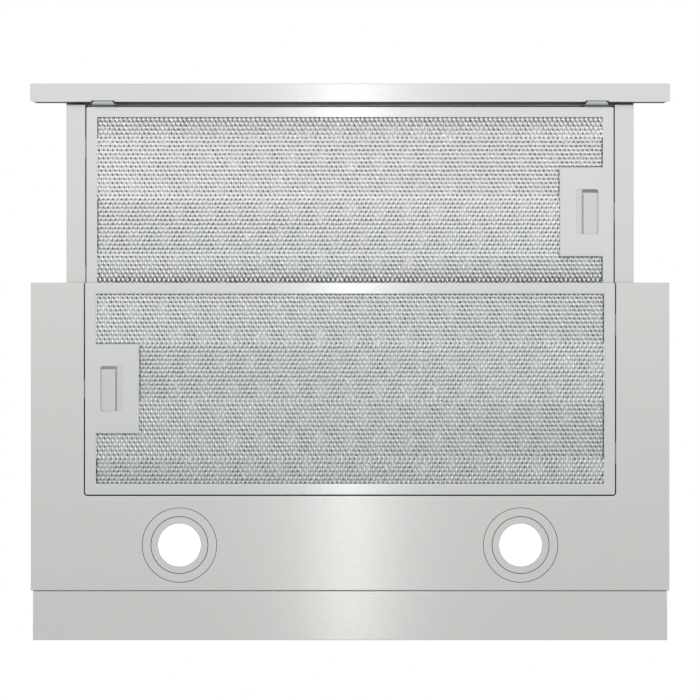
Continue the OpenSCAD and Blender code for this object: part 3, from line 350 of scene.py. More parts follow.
def at_height(parts, z):
    """Flat parts laid at height z."""
    return mapped(parts, lambda p: p + [0, 0, z])


def upright(parts, axis, place):
    """Flat parts stood up in a plane of constant X or Y (axis 0 or 1): their v becomes height."""
    def stand(p):
        fixed = np.full(len(p), float(place))
        columns = [fixed, p[:, 0], p[:, 1]] if axis == 0 else [p[:, 0], fixed, p[:, 1]]
        return np.column_stack(columns)

    return mapped(parts, stand)


def cut_path(corners, xs=(), ys=()):
    """Path through the corners with a point at every grid line that it crosses."""
    corners = np.asarray(corners, float)
    out = [corners[0]]
    for a, b in zip(corners[:-1], corners[1:]):
        axis = 0 if abs(b[0] - a[0]) > abs(b[1] - a[1]) else 1
        lines = np.asarray(xs if axis == 0 else ys, float)
        low, high = sorted((a[axis], b[axis]))
        inside = np.unique(lines[(lines > low + SAME_LINE) & (lines < high - SAME_LINE)])
        inside = inside if b[axis] > a[axis] else inside[::-1]
        t = ((inside - a[axis]) / (b[axis] - a[axis]))[:, None]
        out += [*(a + (b - a) * t), b]
    return np.array(out)


def mitres(path, closed=False):
    """Vectors that move each point of a path to its right, so that every edge moves by one."""
    step = np.roll(path, -1, 0) - path if closed else np.diff(path, axis=0)
    step = step / np.linalg.norm(step, axis=1)[:, None]
    normal = np.stack([step[:, 1], -step[:, 0]], 1)
    if closed:
        before, after = np.roll(normal, 1, 0), normal
    else:
        before, after = np.vstack([normal[:1], normal]), np.vstack([normal, normal[-1:]])
    both = before + after
    return both / (both * after).sum(1)[:, None]


def skirt(path, profile, closed=False):
    """Folded edge: each profile point (out, z) lies out times the mitre vector beside the path,
    at height z."""
    profile = np.asarray(profile, float)
    flat = path[None] + profile[:, 0][:, None, None] * mitres(path, closed)[None]
    z = np.broadcast_to(profile[:, 1][:, None, None], flat.shape[:2] + (1,))
    return grid_surface(np.concatenate([flat, z], -1), closed)


def fold_up(radius, base):
    """Profile of an edge that a quarter arc turns from flat, at the base height, to upright."""
    a = quarter()
    return np.column_stack([radius * np.sin(a), base + radius - radius * np.cos(a)])


def fold_over(radius, top):
    """Profile of an edge that a quarter arc turns from flat, at the top height, to upright."""
    return fold_up(radius, 0) * [1, -1] + [0, top]


def lathe(profile, centre, turn=None, steps=96):
    """Profile (radius, z) carried round a vertical axis; turn(angle, radius) may change it."""
    profile = np.asarray(profile, float)
    a = np.linspace(0, 2 * np.pi, steps, endpoint=False)[None, :]
    r = profile[:, 0][:, None] + 0 * a
    if turn is not None:
        r = turn(a, r)
    z = profile[:, 1][:, None] + 0 * a
    points = np.stack([centre[0] + r * np.cos(a), centre[1] + r * np.sin(a), z], -1)
    return grid_surface(points, True)


def pressed(d, half):
    """Depth of a pressed bead of depth one at distance d from its middle: a raised cosine."""
    return 0.5 * (1 + np.cos(np.pi * np.clip(np.abs(d) / half, 0, 1)))


def fade(d, width=18.0):
    """Smooth step from 0 at no distance to 1 at the width."""
    t = np.clip(d / width, 0, 1)
    return t * t * (3 - 2 * t)


def lines_about(middle, half, count=13):
    """Evenly spaced grid lines on both sides of a place."""
    return middle + np.linspace(-half, half, count)


def grid_lines(*groups):
    """Sorted grid lines without doubles."""
    return np.unique(np.round(np.concatenate(groups), 6))


# Meshes


def gathered(parts):
    """Points of all parts in one array, and the faces of each part counted in that array."""
    shift = np.cumsum([0] + [len(p) for p, _ in parts[:-1]])
    return np.concatenate([p for p, _ in parts]), [f + s for (_, f), s in zip(parts, shift)]


def joined(parts):
    """One vertex array and its faces by corner count, with equal points made one and collapsed
    corners removed."""
    points, faces = gathered(parts)
    keys = np.round(points / SAME_POINT).astype(np.int64)
    _, first, same = np.unique(keys, axis=0, return_index=True, return_inverse=True)
    same = same.reshape(-1)
    triangles, quads = [], []
    for f in faces:
        f = same[f]
        equal = f == np.roll(f, -1, 1)
        count = equal.sum(1)
        if f.shape[1] == 3:
            triangles.append(f[count == 0])
            continue
        quads.append(f[count == 0])
        one = count == 1
        triangles.append(f[one][~equal[one]].reshape(-1, 3))
    return points[first], [group for group in (*triangles, *quads) if len(group)]


def add_object(name, points, faces, materials, nodes, home=None):
    """Mesh object from millimetres and lists of faces. It takes the place of its nodes, and it has
    the body of the first of them, or of its home where it stands for none."""
    mesh = bpy.data.meshes.new(name)
    mesh.from_pydata((points * MM).tolist(), [], [row for group in faces for row in group.tolist()])
    for material in materials:
        mesh.materials.append(material)
    obj = bpy.data.objects.new(name, mesh)
    bpy.context.scene.collection.objects.link(obj)
    home = home or nodes[0]
    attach(obj, frame["nodes"][home]["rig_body"])
    if nodes:
        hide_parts(*nodes)
    return obj


def face_outwards(mesh, out):
    """Turns the faces out of a closed shape or, for an open sheet, so that its furthest face in
    the out direction looks that way. Of equally far faces, the one most square to it counts."""
    bm = bmesh.new()
    bm.from_mesh(mesh)
    bmesh.ops.recalc_face_normals(bm, faces=bm.faces)
    if out is not None:
        out = Vector(out)
        tie = 1e-6

        def reach(face):
            return face.calc_center_median().dot(out) + tie * abs(face.normal.dot(out))

        if max(bm.faces, key=reach).normal.dot(out) < 0:
            bmesh.ops.reverse_faces(bm, faces=bm.faces)
    bm.to_mesh(mesh)
    bm.free()


def soften(mesh, sharp):
    """Smooth shading that stays sharp at edges above an angle in degrees."""
    mesh.polygons.foreach_set("use_smooth", np.ones(len(mesh.polygons), bool))
    mesh.set_sharp_from_angle(angle=math.radians(sharp))


def make_piece(
    name, parts, look, nodes, out=None, wall=0, edge=0, sharp=30, inner=None, home=None
):
    """Piece from parts in millimetres: wall thickens a sheet inwards, edge rounds its rims, and
    inner is the finish of the sheet's inner side, which can be a dark painted shade."""
    rounded_above = 50  # degrees between the faces of an edge that is rounded
    points, faces = joined(parts)
    looks = [finish(look)] if inner is None else [finish(look), finish(inner)]
    obj = add_object(name, points, faces, looks, nodes, home)
    face_outwards(obj.data, out)
    soften(obj.data, sharp)
    if wall:
        solid = obj.modifiers.new("Wall", "SOLIDIFY")
        solid.thickness = wall * MM
        solid.offset = -1
        solid.use_even_offset = True
        solid.material_offset = len(looks) - 1
    if edge:
        rim = obj.modifiers.new("Edge", "BEVEL")
        rim.width = edge * MM
        rim.segments = 2
        rim.limit_method = "ANGLE"
        rim.angle_limit = math.radians(rounded_above)
        rim.use_clamp_overlap = True
    shading = obj.modifiers.new("Shading", "WEIGHTED_NORMAL")
    shading.keep_sharp = True
    return obj


def make_many(name, parts, look, nodes, sharp=None, tones=None):
    """Piece of many small closed shapes that keep their own corners: nothing is merged. Tones, one
    number for each point of painted light, go into the attribute that the net's finish reads."""
    points, faces = gathered(parts)
    obj = add_object(name, points, faces, [finish(look)], nodes)
    if tones is not None:
        tone = obj.data.attributes.new("tone", "FLOAT", "POINT")
        tone.data.foreach_set("value", np.concatenate(tones).astype(np.float32))
    if sharp is not None:
        soften(obj.data, sharp)
    return obj


# Finishes


class Shader:
    """Small helper that adds nodes to a new material and links them."""

    def __init__(self, name):
        self.material = bpy.data.materials.new(name)
        self.material.use_nodes = True
        self.tree = self.material.node_tree
        self.surface = self.tree.nodes["Principled BSDF"]
        self.place = self.add("ShaderNodeTexCoord").outputs["Object"]

    def add(self, kind, values=(), **settings):
        """New node with its settings, and its inputs set from (name, value or output) pairs."""
        node = self.tree.nodes.new(kind)
        for key, value in settings.items():
            setattr(node, key, value)
        for key, value in values:
            self.put(node.inputs[key], value)
        return node

    def put(self, socket, value):
        """A link where the value is an output, else a constant."""
        if isinstance(value, bpy.types.NodeSocket):
            self.tree.links.new(value, socket)
        else:
            socket.default_value = value

    def set(self, **values):
        """Inputs of the surface shader by name, with underscores for spaces."""
        for key, value in values.items():
            self.put(self.surface.inputs[key.replace("_", " ")], value)

    def stretched(self, scale):
        """Object coordinates times a scale on each axis."""
        values = [("Vector", self.place), ("Scale", scale)]
        return self.add("ShaderNodeMapping", values).outputs["Vector"]

    def noise(self, where, scale, detail=3, rough=0.5):
        """Noise from 0 to 1, most of it between 0.3 and 0.7."""
        values = [("Vector", where), ("Scale", scale), ("Detail", detail), ("Roughness", rough)]
        return self.add("ShaderNodeTexNoise", values).outputs["Fac"]

    def cells(self, where, scale):
        """Random number from 0 to 1 for each cell of a crystal pattern."""
        values = [("Vector", where), ("Scale", scale), ("Randomness", 1.0)]
        picked = self.add("ShaderNodeTexVoronoi", values).outputs["Color"]
        return self.add("ShaderNodeSeparateColor", [("Color", picked)]).outputs["Red"]

    def span(self, value, low, high, start=0.3, end=0.7):
        """Value carried from its own range, by default that of most noise, onto low to high."""
        source = [("Value", value), ("From Min", start), ("From Max", end)]
        values = [*source, ("To Min", low), ("To Max", high)]
        return self.add("ShaderNodeMapRange", values).outputs["Result"]

    def tones(self, value, stops):
        """Colour ramp through (place, colour) stops."""
        ramp = self.add("ShaderNodeValToRGB", [("Fac", value)])
        band = ramp.color_ramp
        while len(band.elements) < len(stops):
            band.elements.new(0.5)
        for element, (place, tint) in zip(band.elements, stops):
            element.position = place
            element.color = (*tint, 1)
        return ramp.outputs["Color"]

    def relief(self, height, strength, distance, before=None):
        """Bump from a height, on top of another bump where one is given."""
        values = [("Height", height), ("Strength", strength), ("Distance", distance)]
        if before is not None:
            values.append(("Normal", before))
        return self.add("ShaderNodeBump", values).outputs["Normal"]


def shade(base, factor):
    """Colour times a factor, kept below one."""
    return tuple(min(1.0, c * factor) for c in base)


EVEN = (200, 200, 200)  # grain without a direction
ROLLED = (6, 260, 260)  # grain that runs along X


def rolled_metal(name, base, roughness, grain=ROLLED, spread=0.008, tint=0.006, bump=0.003):
    """Rolled and brushed metal: long noise along the rolling direction moves the roughness and
    lies in the relief, and slow noise moves the tone."""
    s = Shader(name)
    lines = s.noise(s.stretched(grain), 6, 4, 0.6)
    cloud = s.noise(s.place, 9, 2)
    s.set(
        Base_Color=s.tones(cloud, [(0.25, shade(base, 1 - tint)), (0.75, shade(base, 1 + tint))]),
        Metallic=1.0,
        Roughness=s.span(lines, roughness - spread, roughness + spread),
        Normal=s.relief(lines, bump, 0.05 * MM),
    )
    return s.material


def spangled_zinc(name, base):
    """Galvanised sheet: large and small crystals, bent by noise, with their own tone and gloss."""
    s = Shader(name)
    swirl = [("Vector", s.place), ("Scale", 60.0), ("Detail", 2.0)]
    bend = s.add("ShaderNodeTexNoise", swirl).outputs["Color"]
    values = [("Factor", 0.012), ("A", s.place), ("B", bend)]
    where = s.add("ShaderNodeMix", values, data_type="VECTOR").outputs["Result"]
    large, small = s.cells(where, 130.0), s.cells(where, 320.0)
    values = [("Factor", 0.4), ("A", large), ("B", small)]
    tone = s.add("ShaderNodeMix", values, data_type="FLOAT").outputs["Result"]
    fine = s.noise(s.place, 700, 3)
    s.set(
        Base_Color=s.tones(tone, [(0.0, shade(base, 0.93)), (1.0, shade(base, 1.07))]),
        Metallic=1.0,
        Roughness=s.span(tone, 0.32, 0.44, 0, 1),
        Normal=s.relief(fine, 0.06, 0.04 * MM, s.relief(tone, 0.08, 0.06 * MM)),
    )
    return s.material


def moulded_plastic(name, base, roughness=0.42, grain=900.0, bump=0.12):
    """Moulded plastic with a fine spark-eroded grain and faint flow marks."""
    s = Shader(name)
    fine = s.noise(s.place, grain, 2)
    flow = s.noise(s.stretched((3, 3, 12)), 8, 3)
    s.set(
        Base_Color=s.tones(flow, [(0.3, shade(base, 0.92)), (0.7, shade(base, 1.06))]),
        Roughness=s.span(fine, roughness - 0.07, roughness + 0.07),
        Normal=s.relief(fine, bump, 0.06 * MM),
        Specular_IOR_Level=0.45,
    )
    return s.material


def wound_copper(name):
    """Enamelled copper wire lying in close turns."""
    s = Shader(name)
    values = [("Vector", s.place), ("Scale", 300.0), ("Distortion", 0.6)]
    wave = s.add("ShaderNodeTexWave", values, wave_type="BANDS", bands_direction="X")
    height = wave.outputs["Fac"]
    s.set(
        Base_Color=s.tones(height, [(0.1, (0.22, 0.07, 0.03)), (0.8, (0.75, 0.34, 0.17))]),
        Metallic=1.0,
        Roughness=0.32,
        Normal=s.relief(height, 0.5, 0.3 * MM),
    )
    return s.material


def lit_lens(name):
    """Opal plastic over a lit lamp, with a fine grain in its glow."""
    s = Shader(name)
    fine = s.noise(s.place, 700, 2)
    s.set(
        Base_Color=(0.9, 0.9, 0.9, 1),
        Roughness=s.span(fine, 0.2, 0.3),
        Emission_Color=s.tones(fine, [(0.3, (0.97, 0.97, 0.97)), (0.7, (1, 1, 1))]),
        Emission_Strength=1.0,
    )
    return s.material


def expanded_net(name, base):
    """Stretched aluminium net: a strand's tone of painted light, moved by noise, sets how bright
    its slope is.
    """
    s = Shader(name)
    fine = s.noise(s.place, 300, 3)
    tone = s.add("ShaderNodeAttribute", attribute_name="tone").outputs["Fac"]
    values = [(0, tone), (1, s.span(fine, -0.05, 0.05))]
    sheen = s.add("ShaderNodeMath", values, operation="ADD").outputs[0]
    s.set(
        Base_Color=s.tones(sheen, [(0.0, shade(base, 0.66)), (1.0, shade(base, 1.1))]),
        Metallic=1.0,
        Roughness=s.span(fine, 0.26, 0.38),
        Normal=s.relief(fine, 0.02, 0.05 * MM),
    )
    return s.material


def grease_pad(name):
    """Layered aluminium foil pad behind the net, crumpled, and darker towards the edges of its
    crumple cells.
    """
    s = Shader(name)
    values = [("Vector", s.stretched((1, 1, 3))), ("Scale", 260.0)]
    folds = s.add("ShaderNodeTexVoronoi", values, feature="F1").outputs["Distance"]
    fine = s.noise(s.place, 420, 3)
    s.set(
        Base_Color=s.tones(folds, [(0.1, (0.92, 0.94, 0.94)), (0.7, (0.68, 0.7, 0.7))]),
        Metallic=1.0,
        Roughness=s.span(fine, 0.35, 0.6),
        Normal=s.relief(folds, 0.6, 0.6 * MM),
    )
    return s.material


# painted shade: black for the rings that stand for the shade lines round the lamps
SHADE_BLACK = (0.012, 0.012, 0.013)
WHITE = (0.75, 0.75, 0.73)
BUTTON = (0.66, 0.66, 0.67)
SCREW = (0.60, 0.61, 0.62)
# painted shade: dark tone of the bar's inner side and of the strip beside each catch's tab, where
# shade falls; the hidden tongues and bolts are dark sheet in it too
SHADED = (0.30, 0.30, 0.305)

# Each finish from its name and the colours of the property group
RECIPES = {
    "satin_steel": lambda name, c: rolled_metal(name, c.steel, 0.27),
    "sheet_back": lambda name, c: rolled_metal(name, SHADED, 0.5, EVEN, 0.05, 0.05, 0.02),
    "galvanised": lambda name, c: spangled_zinc(name, c.zinc),
    "bright_zinc": lambda name, c: rolled_metal(name, c.plated, 0.3, EVEN, 0.06, 0.05, 0.02),
    "anodised": lambda name, c: rolled_metal(name, c.aluminium, 0.25, EVEN, 0.01, 0.01),
    # painted shade: a darker copy of the border's aluminium for the catch, which sits in its recess
    "catch_metal": lambda name, c: rolled_metal(
        name, shade(c.aluminium, 0.94), 0.25, EVEN, 0.01, 0.01
    ),
    "net": lambda name, c: expanded_net(name, c.net),
    "pad": lambda name, c: grease_pad(name),
    "dark_plastic": lambda name, c: moulded_plastic(name, c.dark_plastic),
    "grey_plastic": lambda name, c: moulded_plastic(name, c.grey_plastic),
    "white_plastic": lambda name, c: moulded_plastic(name, WHITE, 0.35),
    "rubber": lambda name, c: moulded_plastic(name, SHADE_BLACK, 0.7),
    "button_metal": lambda name, c: rolled_metal(name, BUTTON, 0.22, EVEN, 0.03, 0.03),
    "copper": lambda name, c: wound_copper(name),
    "lens": lambda name, c: lit_lens(name),
    "screw": lambda name, c: rolled_metal(name, SCREW, 0.28, EVEN, 0.06, 0.06),
}
FINISHES = {}

SLOT_FINISH = {
    "steel": "satin_steel",
    "zinc_sheet": "galvanised",
    "zinc_part": "bright_zinc",
    "alloy": "anodised",
    "filter_mesh": "net",
    "filter_pad": "pad",
    "black_plastic": "dark_plastic",
    "grey_plastic": "grey_plastic",
    "white_plastic": "white_plastic",
    "button_metal": "button_metal",
    "copper_winding": "copper",
    "lens": "lens",
    "screw": "screw",
}


def finish(kind):
    """Material of a finish, made at its first use."""
    if kind not in FINISHES:
        FINISHES[kind] = RECIPES[kind](kind, bpy.context.scene.hood_colours)
    return FINISHES[kind]


# Pieces. Their own sizes are in millimetres. In cassette coordinates the cassette's middle is at
# the origin, its visible side at height 0 and its latch on the low X side.

NOTCH_CORNER = 2  # radius of the rear corners of an opening for a cassette
VISOR_INSET = 1.7  # from the tray's front to the visor's cassette
GATE_HALF = 9.4  # half the width of the opening that a catch's bolt passes
GATE_LOW, GATE_HIGH = 1.1, 4.9


def to_fixed(points):
    """Cassette coordinates to the place of the fixed cassette."""
    (depth,) = sizes("hood_cassette", "depth")
    return points + [0, PAN_LOW[1] + depth / 2, PAN_LOW[2]]


def to_visor(points):
    """Cassette coordinates to the place of the visor's cassette, turned half a turn."""
    (depth,) = sizes("hood_cassette", "depth")
    return points * [-1, -1, 1] + [0, TRAY_LOW[1] + VISOR_INSET + depth / 2, TRAY_LOW[2]]


# Name, place, and the sign of X on the latch's side of the hood, which is also the sign of Y
# towards the front in cassette coordinates
CASSETTES = (("fixed", to_fixed, -1), ("visor", to_visor, 1))


def notch_corners(half, edge, radius, z):
    """Small fans that round the two rear corners of an opening: triangles from the corner to a
    quarter arc."""
    fans = []
    for s in (-1, 1):
        curve = arc((s * (half - radius), edge - radius), radius, 0 if s > 0 else 180, 90, 6)
        n = len(curve)
        i = np.arange(n - 1)
        points = level(np.vstack([curve, [s * half, edge]]), z)
        fans.append((points, np.stack([i, i + 1, np.full(n - 1, n)], 1)))
    return fans


def build_panel():
    """The flat underside is a grid without the notch and the lamp holes; quarter arcs fold its
    edges up. The front is high beside the opening that the visor slides through, and low beside
    the cassette."""
    wall, r, edge, play = sizes("hood_sheet", "thickness", "bend", "edge", "hole_play")
    width, depth, height, gap = sizes("hood_cassette", "width", "depth", "height", "gap")
    x, front, rear = PAN_HIGH[0], PAN_LOW[1], PAN_HIGH[1]
    low, top = PAN_LOW[2], PAN_HIGH[2]
    nx, ny, corner = width / 2 + gap, front + depth + gap, NOTCH_CORNER + gap
    opening, strip_top, rim_width = 268.5, -204.4, 11.0
    hole, reach = (BEZEL_HIGH[0] - BEZEL_LOW[0]) / 2 + play, 40.0
    start, end = front + r, rear - r
    lines = np.linspace(-reach, reach, 17)
    sides = np.array([x - r, opening, nx, nx - corner])
    us = grid_lines(-sides, sides, LAMP_X + lines, -LAMP_X + lines)
    vs = grid_lines([start, ny - corner, ny, ny + r, end], LAMP_Y + lines)
    holes = [(s * LAMP_X, LAMP_Y, hole, reach) for s in (-1, 1)]
    notch = [(-nx, nx, front, ny), (corner - nx, nx - corner, ny, ny + r)]
    parts = at_height(plate(us, vs, holes, notch), low) + notch_corners(nx, ny, corner, low)
    fold = fold_up(r, low)
    corners = [(x - r, start), (x - r, end), (r - x, end), (r - x, start)]
    outline = cut_path([(opening, start), *corners, (-opening, start)], us, vs)
    parts.append(skirt(outline, np.vstack([fold, [[r, strip_top], [r, top - r]]])))
    for s in (-1, 1):
        ends = [(s * nx, start), (s * opening, start)][::s]
        parts.append(skirt(cut_path(ends, us, vs), np.vstack([fold, [[r, strip_top]]])))
    turn_in = np.vstack([fold_over(r, top)[::-1], [[r - rim_width, top]]])
    parts.append(skirt(cut_path(corners, us, vs), turn_in))
    ledge = cut_path([(corner - nx, ny + r), (nx - corner, ny + r)], us, vs)
    parts.append(skirt(ledge, np.vstack([fold, [[r, low + height]]])))
    make_piece("underside_sheet", parts, "satin_steel", ["underside_panel"], DOWN, wall, edge)


def build_spacer():
    """Open-topped box: a flat bottom whose four edges fold up."""
    wall, r, edge = sizes("hood_sheet", "thickness", "bend", "edge")
    (x0, y0, z0), (x1, y1, z1) = SPACER_LOW, SPACER_HIGH
    loop = np.array([(x0 + r, y0 + r), (x1 - r, y0 + r), (x1 - r, y1 - r), (x0 + r, y1 - r)])
    parts = at_height(plate([x0 + r, x1 - r], [y0 + r, y1 - r]), z0)
    parts.append(skirt(loop, np.vstack([fold_up(r, z0), [[r, z1]]]), True))
    make_piece("wall_spacer", parts, "satin_steel", ["rear_spacer"], DOWN, wall, edge)


def strip_to(us, start, edge, z):
    """Flat strip from a straight line to an edge that is a function of u, in three rows."""
    t = np.array([0, 0.5, 1])[None, :]
    v = start + (edge(us)[:, None] - start) * t
    return grid_surface(np.stack([us[:, None] + 0 * t, v, z + 0 * v], -1))


def build_bar():
    """Folded bar: the bottom and top strips end at stepped and cut rear edges, quarter arcs join
    them to the front and end walls, and the front has holes for the buttons."""
    wall, r, rounding = sizes("hood_sheet", "thickness", "bend", "edge")
    x, front, rear, low, high = BAR_HIGH[0], BAR_LOW[1], BAR_HIGH[1], BAR_LOW[2], BAR_HIGH[2]
    low_rear, slot_rear, side_rear = rear - 1.1, rear - 2.25, rear - 3.1
    end_cut, lip_x, slit, clip_play = 1.3, 265.0, 0.01, 0.3
    slot_half = (CLIP_HIGH[0] - CLIP_LOW[0]) / 2 + clip_play

    def low_edge(u):
        straight = np.where(np.abs(np.abs(u) - CLIP_X) < slot_half, slot_rear, low_rear)
        return np.minimum(straight, low_rear - (np.abs(u) - (x - end_cut)))

    def high_edge(u):
        cut = np.minimum(side_rear, side_rear - (np.abs(u) - (x - end_cut)))
        return np.where(np.abs(u) < lip_x + slit, rear, cut)

    centres = [sum(c[0] for c in box_mm(n)) / 2 for n in BUTTONS]
    button_z, square, hole = (low + high) / 2, 8.0, 6.5
    lines = np.linspace(-square, square, 9)
    clip = [CLIP_X + s * (slot_half + d) for s in (-1, 1) for d in (0, -s * slit)]
    sides = np.array([x - r, x - end_cut, lip_x, lip_x + 2 * slit, *clip])
    us = grid_lines(-sides, sides, *[c + lines for c in centres])
    start = front + r
    parts = []
    for z, edge, fold in ((low, low_edge, fold_up(r, low)), (high, high_edge, fold_over(r, high))):
        parts.append(strip_to(us, start, edge, z))
        end = edge(us[-1:])[0]
        side = [(x - r, y) for y in (start, (start + end) / 2, end)]
        outline = [(-u, v) for u, v in side[::-1]] + side
        parts.append(skirt(cut_path(outline, us), fold))
    zs = grid_lines([low + r, high - r], button_z + lines)
    face = plate([-x, *us[1:-1], x], zs, [(c, button_z, hole, square) for c in centres])
    parts += upright(face, 1, front)
    ends = np.array([low_edge(us[-1:])[0], high_edge(us[-1:])[0]])
    rise = (zs - zs[0]) / (zs[-1] - zs[0])
    end_y = ends[0] + (ends[1] - ends[0]) * rise
    ys = np.stack([0 * zs + front, (start + end_y) / 2, end_y])
    for s in (-1, 1):
        parts.append(grid_surface(np.stack([0 * ys + s * x, ys, 0 * ys + zs], -1)))
    # painted shade: the bar's inner side is dark for the shade inside the bar
    make_piece(
        "bar_sheet", parts, "satin_steel", ["front_bar"], DOWN, wall, rounding, inner="sheet_back"
    )


def build_buttons():
    """Dished cap with a rounded rim on a stem, carried round the button's axis along Y."""
    rim_r, neck, dish_depth = 0.8, 3.0, 0.45
    for node in BUTTONS:
        low, high = box_mm(node)
        x, z = (low[0] + high[0]) / 2, (low[2] + high[2]) / 2
        radius, face, back = (high[0] - low[0]) / 2, low[1], high[1]
        t = np.linspace(0, 1, 8)
        dish = np.column_stack([(radius - 2 * rim_r) * t, dish_depth * (1 - t ** 2)])
        rim = arc((radius - rim_r, rim_r), rim_r, -90, 0, 5)
        stem = [[radius, neck], [radius / 2, neck], [radius / 2, back - face], [0, back - face]]
        points, faces = lathe(np.vstack([dish, rim, stem]), (0, 0), steps=48)
        points = np.column_stack([x + points[:, 0], face + points[:, 2], z + points[:, 1]])
        make_piece(node + "_cap", [(points, faces)], "button_metal", [node])


def build_clips():
    """Folded strip carried along X: it hangs from the bar's top, turns back up and holds the tray.
    It narrows towards the turn, which has a small dark dot, painted shade of a hole, at each end."""
    rear, leaf, foot, bend, rounding = BAR_HIGH[1], 0.8, 12.0, 1.2, 0.1
    low, top, tray = CLIP_LOW[2], CLIP_HIGH[2] - leaf, TRAY_HIGH[2] - 2 * leaf
    leg_front, leg_rear = rear - 2.5, rear + 1.4
    legs = [(leg_front, top), (leg_front, low), (leg_rear, low), (leg_rear, tray)]
    section = folded([(rear - foot, top), *legs, (rear + foot, tray)], bend)
    wide, hook_half, hook_top, taper = (CLIP_HIGH[0] - CLIP_LOW[0]) / 2, 10.3, 2, 12
    # painted shade: small dark cones stand for the shade in the clip's holes
    hole_shade_r, hole_shade_x, hole_shade_y, proud, sunk, bevel = 0.8, 9.5, rear - 1.1, 0.15, 0.6, 0.12
    hole_shade = [(0, -proud), (hole_shade_r - bevel, -proud), (hole_shade_r, 0), (hole_shade_r, sunk), (0, sunk)]
    hole_shades = []
    for s, side in ((-1, "left"), (1, "right")):
        node = "bar_bracket_" + side

        def narrow(p):
            slim = 1 - (1 - hook_half / wide) * (1 - fade(p[:, 2] - low - hook_top, taper))
            return np.column_stack([s * CLIP_X + (p[:, 0] - s * CLIP_X) * slim, p[:, 1:]])

        strip = along(section, s * np.linspace(CLIP_LOW[0], CLIP_HIGH[0], 5), 0)
        strip = mapped([strip], narrow)
        make_piece(node + "_strip", strip, "bright_zinc", [node], DOWN, leaf, rounding)
        for d in (-hole_shade_x, hole_shade_x):
            hole_shades.append(lathe(np.array(hole_shade) + [0, low], (s * CLIP_X + d, hole_shade_y), steps=16))
    make_piece("bar_clip_pins", hole_shades, "dark_plastic", [], home="switch_block")


def build_tray():
    """Folded section carried along Y with a cross strip between the rails; fans round the
    opening's corners, and the rails' front ends turn up with the square of the distance."""
    wall, r, edge = sizes("hood_sheet", "thickness", "bend", "edge")
    width, depth, gap = sizes("hood_cassette", "width", "depth", "gap")
    x, low, high = TRAY_HIGH[0], TRAY_LOW[2], TRAY_HIGH[2]
    front, rail_end = TRAY_LOW[1], TRAY_HIGH[1]
    nx, corner, cross_width = width / 2 + gap, NOTCH_CORNER + gap, 10
    cross_front = front + VISOR_INSET + depth + gap
    cross_rear = cross_front + cross_width
    half = folded([(nx, low), (x, low), (x, high), (0, high)], r)
    section = np.vstack([half, (half * [-1, 1])[-2::-1]])
    nose, rise_from, lift, slack = front - 1.1, front + 0.9, 0.4, 0.01
    rail = half[:np.argmax(half[:, 1] > high - r - slack) + 1]
    nose_y = np.linspace(nose, rise_from, 6)
    parts = [along(section, [*nose_y, cross_front - corner, cross_front, cross_rear], 1)]
    parts += [along(rail * [s, 1], [cross_rear, rail_end], 1) for s in (-1, 1)]
    cross = plate([-nx, corner - nx, nx - corner, nx], [cross_front, cross_rear])
    parts += at_height(cross, low) + notch_corners(nx, cross_front, corner, low)

    def turn_up(p):
        near_end = np.clip((rise_from - p[:, 1]) / (rise_from - nose), 0, 1)
        rise = near_end ** 2 * (p[:, 2] < low + r) * lift
        return p + np.column_stack([0 * rise, 0 * rise, rise])

    parts = mapped(parts, turn_up)
    make_piece("visor_sheet", parts, "satin_steel", ["visor_tray"], DOWN, wall, edge)


def gated(centre, half, radius):
    """Rounded rectangle that starts and ends on its low X side, beside the catch's gate."""
    loop = rounded_loop(centre, half, radius)
    loop = np.roll(loop, -len(loop) // 2, 0)
    side = centre[0] - half[0]
    return np.vstack([[side, centre[1] - GATE_HALF], loop, [side, centre[1] + GATE_HALF]])


def gated_stack(loops, heights):
    """Surface through gated loops, open at the gate between the gate's two heights."""
    loops, heights = np.array(loops), np.asarray(heights, float)
    first = np.argmax(heights >= GATE_LOW - SAME_LINE)
    last = np.argmax(heights >= GATE_HIGH - SAME_LINE)
    below = stack_loops(loops[:first + 1], heights[:first + 1])
    above = stack_loops(loops[last:], heights[last:])
    open_rows = [level(loops[i], heights[i]) for i in range(first, last + 1)]
    return [below, grid_surface(np.array(open_rows)), above]


def build_borders():
    """Rounded rectangles stepped along a channel profile of (inset, height), with a small roll at
    the window."""
    width, depth, border, high = sizes("hood_cassette", "width", "depth", "border", "height")
    foil, roll_width, roll_rise, roll_r = 0.8, 2, 0.9, 0.5
    corner_r, least_r = 2.0, 0.4
    roll = folded([(border, roll_rise), (border, 0), (border - roll_width, 0)], roll_r)
    inner = border - roll_width
    outer = folded([(inner, 0), (0, 0), (0, high), (inner, high)], GATE_LOW)
    half = len(outer) // 2
    back_roll = (roll * [1, -1] + [0, high])[-2::-1]
    profile = np.vstack([roll[:-1], outer[:half], [[0, GATE_HIGH]], outer[half:], back_roll])
    loops = [
        gated((0, 0), (width / 2 - t, depth / 2 - t), max(corner_r - t, least_r))
        for t in profile[:, 0]
    ]
    start = np.argmax(profile[:, 0] == 0)
    tongue_z, tongue_half, tongue_out, tongue_y = (1.1, 2.3), (2.5, 10), 1.0, 60
    tongue_r, rounding = 1.0, 0.2
    for name, place, _ in CASSETTES:
        sheet = [stack_loops(loops[:start + 1], profile[:start + 1, 1])]
        sheet += gated_stack(loops[start:], profile[start:, 1])
        tongues = []
        for y in (-tongue_y, tongue_y):
            tongue = rounded_loop((width / 2 + tongue_out, y), tongue_half, tongue_r)
            tongues += block(tongue, tongue_z)
        node = "filter_frame_" + name
        sheet, tongues = mapped(sheet, place), mapped(tongues, place)
        make_piece("cassette_border_" + name, sheet, "anodised", [node], DOWN, foil)
        make_piece("cassette_tongues_" + name, tongues, "sheet_back", [node], edge=rounding)


